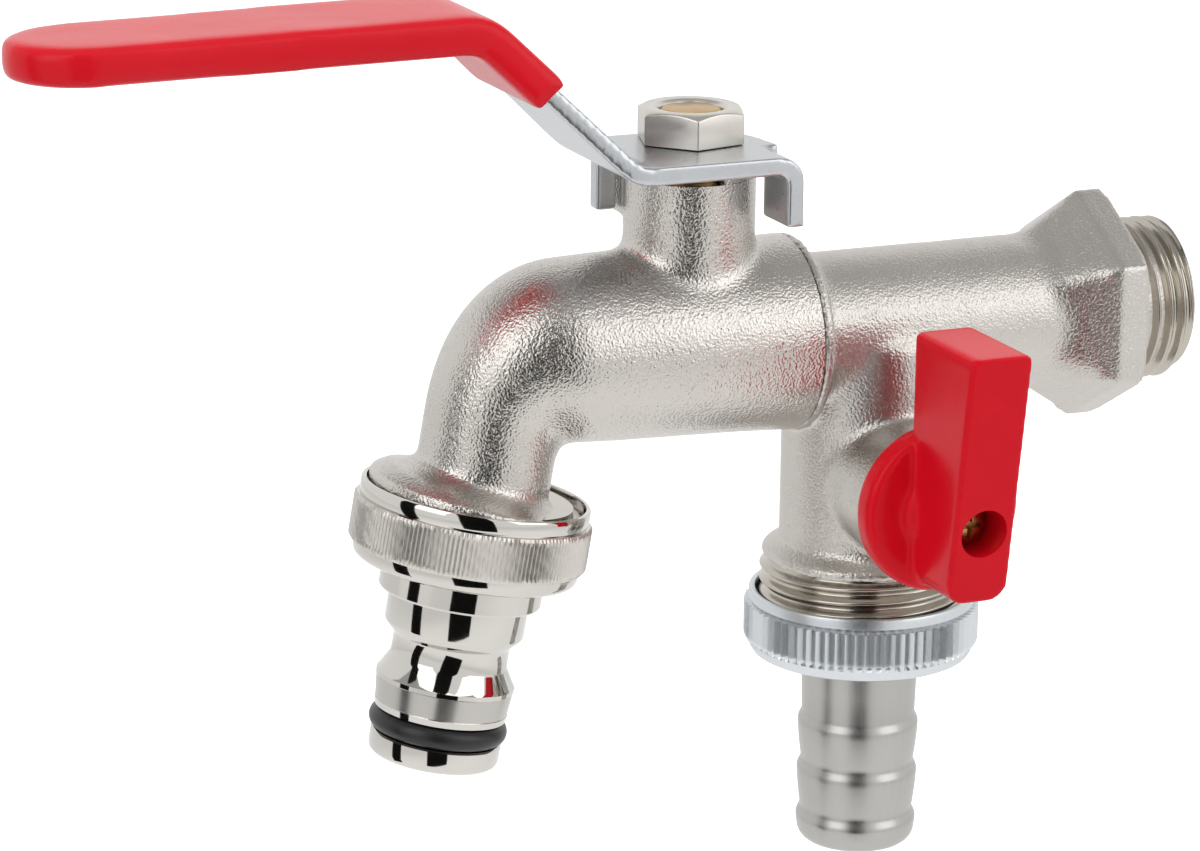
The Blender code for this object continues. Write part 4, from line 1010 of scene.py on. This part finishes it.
def branchHandle():
    look = handleLook
    disk, back, front = look["disk"], look["back"], look["front"]
    outline = [(0, back), (disk - 0.6, back), (disk, back + 0.6), (disk, front - 0.9)]
    outline += [(disk - 0.3, front - 0.3), (disk - 0.9, front), (0, front)]
    plate = spun("diskShape", outline)
    half, foot, ease = look["barHalf"], look["footRound"], look["topRound"]
    high = look["barTop"] - ease
    low = foot - look["barBottom"]
    outline = arcPoints((half - ease, high), ease, 0, 90, 5) + arcPoints((ease - half, high), ease, 90, 180, 5)
    outline += arcPoints((foot - half, low), foot, 180, 270, 8) + arcPoints((half - foot, low), foot, 270, 360, 8)
    bar = prismOf("barShape", outline, front - 1.6, look["frontLow"] + 12.0)
    lean = math.radians(look["lean"])
    editAll(bar)
    bpy.ops.mesh.bisect(
        plane_co=(0, -look["barBottom"] * mm, look["frontLow"] * mm),
        plane_no=(0, -math.sin(lean), math.cos(lean)),
        use_fill=True,
        clear_outer=True,
    )
    closeUp(bar)
    hub = spun("hubShape", [(0, front - 1), (5.6, front - 1), (5.2, front + 0.9), (0, front + 0.9)])
    piece = castTogether("branchHandle", [plate, bar, hub], look["grain"], look["rounds"])

    def atHub(place):
        return front - 0.3 < place.z < front + 2.4 and math.hypot(place.x, place.y) < 9.5

    easedWhere(piece, atHub, look["hubRounds"])
    frontMiddle = look["frontLow"] + math.tan(lean) * look["barBottom"]
    floorHeight = frontMiddle - look["recessDepth"]
    recess = rod("recessCut", look["recess"], floorHeight, frontMiddle + 6, 64)
    socket = boxOf("socketCut", (-2.8, -2.8, back - 2), (2.8, 2.8, front + 1.5))
    shank = rod("shankCut", 1.6, front, floorHeight + 1, 32)
    cutAway(piece, recess, socket, shank)
    placed(piece, handleFrame)
    dressed(piece, "handle", "red_paint", "branch_handle", angle=50.0)
    return floorHeight


# cross-slotted screw at the bottom of the recess
screwLook = {"head": 2.7, "height": 2.0, "shank": 1.3, "length": 9.0, "slot": (1.6, 0.35)}


def handleScrew(floorHeight):
    look = screwLook
    low = floorHeight + 0.3
    head, shank = look["head"], look["shank"]
    outline = [(0, low - look["length"]), (shank, low - look["length"]), (shank, low), (head, low), (head, low + 0.5)]
    outline += [(head - 0.15, low + 0.9), (head * 0.78, low + 1.5), (head * 0.5, low + 1.85), (0, low + look["height"])]
    piece = spun("handleScrew", outline, 48)
    long, thin = look["slot"]
    for wide, tall in ((long, thin), (thin, long)):
        slot = boxOf("slotCut", (-wide, -tall, low + 0.9), (wide, tall, low + 4))
        combined(piece, slot, "DIFFERENCE", "EXACT")
    placed(piece, handleFrame)
    dressed(piece, "handle", "yellow_screw", "handle_screw")


# outer skin of a spun piece moved in by a depth for each height, angle and place in the tooth
def knurled(piece, look, depthAt):
    for vertex in piece.data.vertices:
        x, y, z = vertex.co / mm
        radius = math.hypot(x, y)
        if radius > look["knurlFrom"]:
            angle = math.atan2(y, x)
            valley = abs(2 * (angle / math.tau * look["teeth"] % 1.0) - 1)
            wanted = look["crest"] - depthAt(z, angle, valley)
            vertex.co.x *= wanted / radius
            vertex.co.y *= wanted / radius


# knurled nut of the hose union
unionLook = {"teeth": 74, "tooth": 0.62, "perTooth": 4, "crest": 15.1, "knurlFrom": 14.7, "knurl": (36.7, 41.5)}


def unionNut():
    look = unionLook
    low, high = look["knurl"]
    outline = [(13.6, 35.6), (13.75, 34.95), (14.1, 34.85), (14.4, 34.95), (14.5, 35.2), (14.5, 36.2), (14.2, 36.45)]
    outline += [(look["crest"], low + 0.25 * i) for i in range(int((high - low) / 0.25) + 1)]
    outline += [(14.6, 41.75), (14.45, 41.95), (14.35, 42.5), (14.0, 43.05), (13.5, 43.3)]
    outline += [(8.0, 43.3), (8.0, 41.95), (13.6, 41.95)]
    piece = spun("unionNut", outline, look["teeth"] * look["perTooth"])

    def depthAt(z, _, valley):
        return look["tooth"] * valley + 0.25 * (1 - min(1.0, (high - z) / 0.5 + 0.25))

    knurled(piece, look, depthAt)
    placed(piece, branchFrame)
    dressed(piece, "nut", "zinc_plate", "union_nut", angle=30.0)


# hose tail with three soft barbs
tailLook = {
    "neck": 7.55,
    "waist": 7.3,
    "barb": 7.78,
    "barbs": (52.9, 59.4, 65.9),
    "step": 1.5,
    "end": 69.15,
    "nose": 2.1,
    "bore": 5.1,
}


def hoseTail():
    look = tailLook
    neck, waist, barb, bore = look["neck"], look["waist"], look["barb"], look["bore"]
    step, nose = look["step"], look["nose"]
    tip = look["end"] - nose
    outline = [(bore, 40.1), (12.7, 40.1), (12.7, 41.6), (neck, 41.6), (neck, 44.0), (neck - 0.15, 48.0)]
    for i, crest in enumerate(look["barbs"]):
        last = i == len(look["barbs"]) - 1
        end = tip if last else look["barbs"][i + 1] - step
        for k in range(8):
            share = k / 7
            outline.append((waist + (barb - waist) * eased(share), crest - step + step * share))
        low = barb - 0.12 if last else waist
        for k in range(1, 8 if last else 10):
            share = k / 10
            outline.append((barb + (low - barb) * share ** 1.5, crest + (end - crest) * share))
    outline += arcPoints((barb - 0.12 - nose, tip), nose, 0, 90, 7)
    outline += [(bore + 0.4, look["end"]), (bore, look["end"] - 0.5)]
    piece = placed(spun("hoseTail", outline), branchFrame)
    dressed(piece, "tail", "brushed_nickel", "hose_tail")


# quick connector: collar, fine knurl, foot ring and the stepped nose
connectorLook = {
    "teeth": 160,
    "perTooth": 4,
    "tooth": 0.2,
    "crest": 14.85,
    "knurlFrom": 14.7,
    "knurlLow": 18.85,
    "satinBand": (41.2, 44.15, 7.9),
    "knurlBand": (18.8, 24.5, 14.4),
}


def quickConnector():
    look = connectorLook
    outline = [(13.6, 17.2), (13.7, 16.75), (13.95, 16.65), (14.2, 16.75), (14.32, 17.0)]
    outline += [(14.32, 18.45), (14.2, 18.7), (14.55, 18.75)]
    outline += [(look["crest"], look["knurlLow"] + 0.3 + 0.55 * i) for i in range(10)]
    outline += [(14.55, 24.5), (14.05, 24.55), (14.08, 25.6), (13.85, 26.1), (13.4, 26.4), (10.6, 26.5), (10.15, 26.6)]
    outline += [(10.15, 29.75), (9.9, 30.05), (9.0, 30.1), (8.72, 30.2), (8.72, 33.9), (8.6, 34.25)]
    outline += [(7.45, 35.4), (7.3, 35.7), (7.3, 38.2), (7.45, 38.5), (8.45, 40.3), (8.68, 40.6)]
    outline += [(8.68, 41.15), (8.6, 41.25), (8.3, 44.1), (8.36, 44.2), (8.2, 45.0), (8.0, 45.1)]
    outline += [(6.1, 45.15), (6.1, 48.0), (7.95, 48.05), (8.2, 48.25), (8.22, 50.0), (8.05, 50.6)]
    outline += [(7.6, 51.0), (7.1, 51.15), (5.3, 51.15), (4.8, 50.7), (4.8, 24.4), (13.6, 24.4)]
    piece = spun("quickConnector", outline, look["teeth"] * look["perTooth"])

    def depthAt(z, angle, valley):
        wander = 0.5 + 0.5 * math.sin(z * 3.1 + angle * 37.0)
        return look["tooth"] * valley * (0.7 + 0.3 * wander)

    knurled(piece, look, depthAt)
    placed(piece, spoutFrame)
    dressed(piece, "nose", "polished_nickel", "tap_connector", angle=32.0)
    faced(piece, satinBand, spoutFrame, look["satinBand"])
    faced(piece, knurlSatin, spoutFrame, look["knurlBand"])


# black ring in the nose's groove
ringLook = {"middle": 7.36, "section": 1.32, "place": 46.58, "stretch": 1.08}


def connectorRing():
    look = ringLook
    clearSelection()
    bpy.ops.mesh.primitive_torus_add(
        major_radius=look["middle"] * mm, minor_radius=look["section"] * mm, major_segments=108, minor_segments=28
    )
    piece = newest("connectorRing")
    editAll(piece)
    bpy.ops.transform.resize(value=(1.0, 1.0, look["stretch"]))
    bpy.ops.transform.translate(value=(0, 0, look["place"] * mm))
    bpy.ops.object.mode_set(mode="OBJECT")
    placed(piece, spoutFrame)
    dressed(piece, "nose", "black_rubber", "connector_o_ring", angle=80.0)


spoutCasting()
stopStub()
inletCasting()
threadedSleeve("inletThread", inletThreadLook, inletFrame, machined["inlet"])
threadedSleeve("branchThread", branchThreadLook, branchFrame, machined["branch"])
threadedSleeve("spoutThread", spoutThreadLook, spoutFrame, machined["branch"])
leverPlate()
leverGrip()
leverNut()
stemTop()
glandRing()
handleScrew(branchHandle())
unionNut()
hoseTail()
quickConnector()
connectorRing()


# pale floor, white surroundings, soft lamps, and dark cards and a grey ceiling that only reflections see
studio = {
    "floorGap": 260.0,
    "floorSize": 6.0,
    "floorTone": {"pale": (0.9, 0.9, 0.9), "deep": (0.86, 0.86, 0.86)},
    "fill": 0.62,
    "floorGlow": 0.8,
    "floorShine": 0.3,
    "lamps": [
        {"name": "leftSoftbox", "azimuth": -70.0, "elevation": 38.0, "reach": 0.9, "size": (0.7, 0.9), "power": 2.2},
        {"name": "rightSoftbox", "azimuth": 40.0, "elevation": 30.0, "reach": 0.9, "size": (0.6, 0.8), "power": 1.6},
        {"name": "topSoftbox", "azimuth": 10.0, "elevation": 82.0, "reach": 0.9, "size": (1.0, 1.0), "power": 2.4},
    ],
    "cards": [
        {"name": "cameraCard", "azimuth": 3.0, "width": 34.0, "low": -31.0, "high": 62.0, "reach": 0.45},
        {"name": "leftCard", "azimuth": -67.0, "width": 17.0, "low": -31.0, "high": 62.0, "reach": 0.45},
    ],
    "ceiling": {"height": 0.5, "near": 62.0, "far": 48.0, "width": 1.2, "tone": 0.42},
}


def surroundings():
    world = bpy.data.worlds.new("whiteStudio")
    bpy.context.scene.world = world
    world.use_nodes = True
    tree = world.node_tree
    wire = Wire(tree)
    path = tree.nodes.new("ShaderNodeLightPath")
    seen = Wire(tree, path.outputs["Is Camera Ray"]) + Wire(tree, path.outputs["Is Glossy Ray"])
    seen = seen + Wire(tree, path.outputs["Is Transmission Ray"])
    wire.feed(tree.nodes["Background"].inputs["Strength"], studio["fill"] + (1.0 - studio["fill"]) * seen)
    tree.nodes["Background"].inputs["Color"].default_value = white


def floor():
    bpy.ops.object.select_all(action="DESELECT")
    depth = cadBox[0][2] - studio["floorGap"] * mm
    bpy.ops.mesh.primitive_plane_add(size=studio["floorSize"], location=(0.0, 0.0, depth))
    piece = newest("floor")
    finish, shader, wire, coords = newFinish("paleFloor", {"Roughness": 0.9, "Emission Color": white})
    path = finish.node_tree.nodes.new("ShaderNodeLightPath")
    tint = noise(wire, coords, 6.0, 2.0)
    tinted(shader, wire, tint, studio["floorTone"])
    seen = studio["floorGlow"] * Wire(finish.node_tree, path.outputs["Is Camera Ray"])
    shone = studio["floorShine"] * Wire(finish.node_tree, path.outputs["Is Glossy Ray"])
    wire.feed(shader.inputs["Emission Strength"], seen + shone)
    piece.data.materials.append(finish)


def slope(degrees):
    return math.tan(math.radians(degrees))


def aimed(place, target):
    return (target - place).to_track_quat("-Z", "Y").to_matrix().to_4x4()


def lamps():
    middle = Vector(view["target"]) * mm
    for lamp in studio["lamps"]:
        data = bpy.data.lights.new(lamp["name"], "AREA")
        data.shape = "RECTANGLE"
        data.size, data.size_y = lamp["size"]
        data.energy = lamp["power"]
        light = linked(lamp["name"], data)
        place = middle + lamp["reach"] * wayAt(lamp["azimuth"], lamp["elevation"])
        light.matrix_world = Matrix.Translation(place) @ aimed(place, middle)


def reflector(name, place, size, finish):
    clearSelection()
    bpy.ops.mesh.primitive_plane_add(size=1.0)
    piece = newest(name)
    placed(piece, place @ Matrix.Diagonal((*size, 1.0, 1.0)))
    piece.data.materials.append(finish)
    for sight in ("camera", "diffuse", "shadow", "transmission", "volume_scatter"):
        setattr(piece, "visible_" + sight, False)


def cards():
    finish = newFinish("darkCard", {"Base Color": black, "Roughness": 1.0, "Specular IOR Level": 0.0})[0]
    middle = Vector(view["target"]) * mm
    for card in studio["cards"]:
        way = wayAt(view["azimuth"] + card["azimuth"])
        low = card["reach"] * slope(card["low"])
        high = card["reach"] * slope(card["high"])
        width = 2 * card["reach"] * slope(card["width"] / 2)
        place = middle + card["reach"] * way + Vector((0.0, 0.0, (low + high) / 2))
        reflector(card["name"], Matrix.Translation(place) @ aimed(place, place - way), (width, high - low), finish)


def ceiling():
    look = studio["ceiling"]
    values = {"Base Color": black, "Emission Color": white, "Emission Strength": look["tone"]}
    finish = newFinish("greyCeiling", values)[0]
    near = look["height"] / slope(look["near"])
    far = look["height"] / slope(look["far"])
    lift = Vector((0.0, 0.0, look["height"]))
    place = Vector(view["target"]) * mm + lift + wayAt(view["azimuth"]) * (near - far) / 2
    turn = Matrix.Rotation(math.radians(view["azimuth"]), 4, "Z")
    reflector("greyCeiling", Matrix.Translation(place) @ turn, (look["width"], near + far), finish)


surroundings()
floor()
lamps()
cards()
ceiling()
bpy.context.scene.view_settings.view_transform = "Standard"
print("studio set")
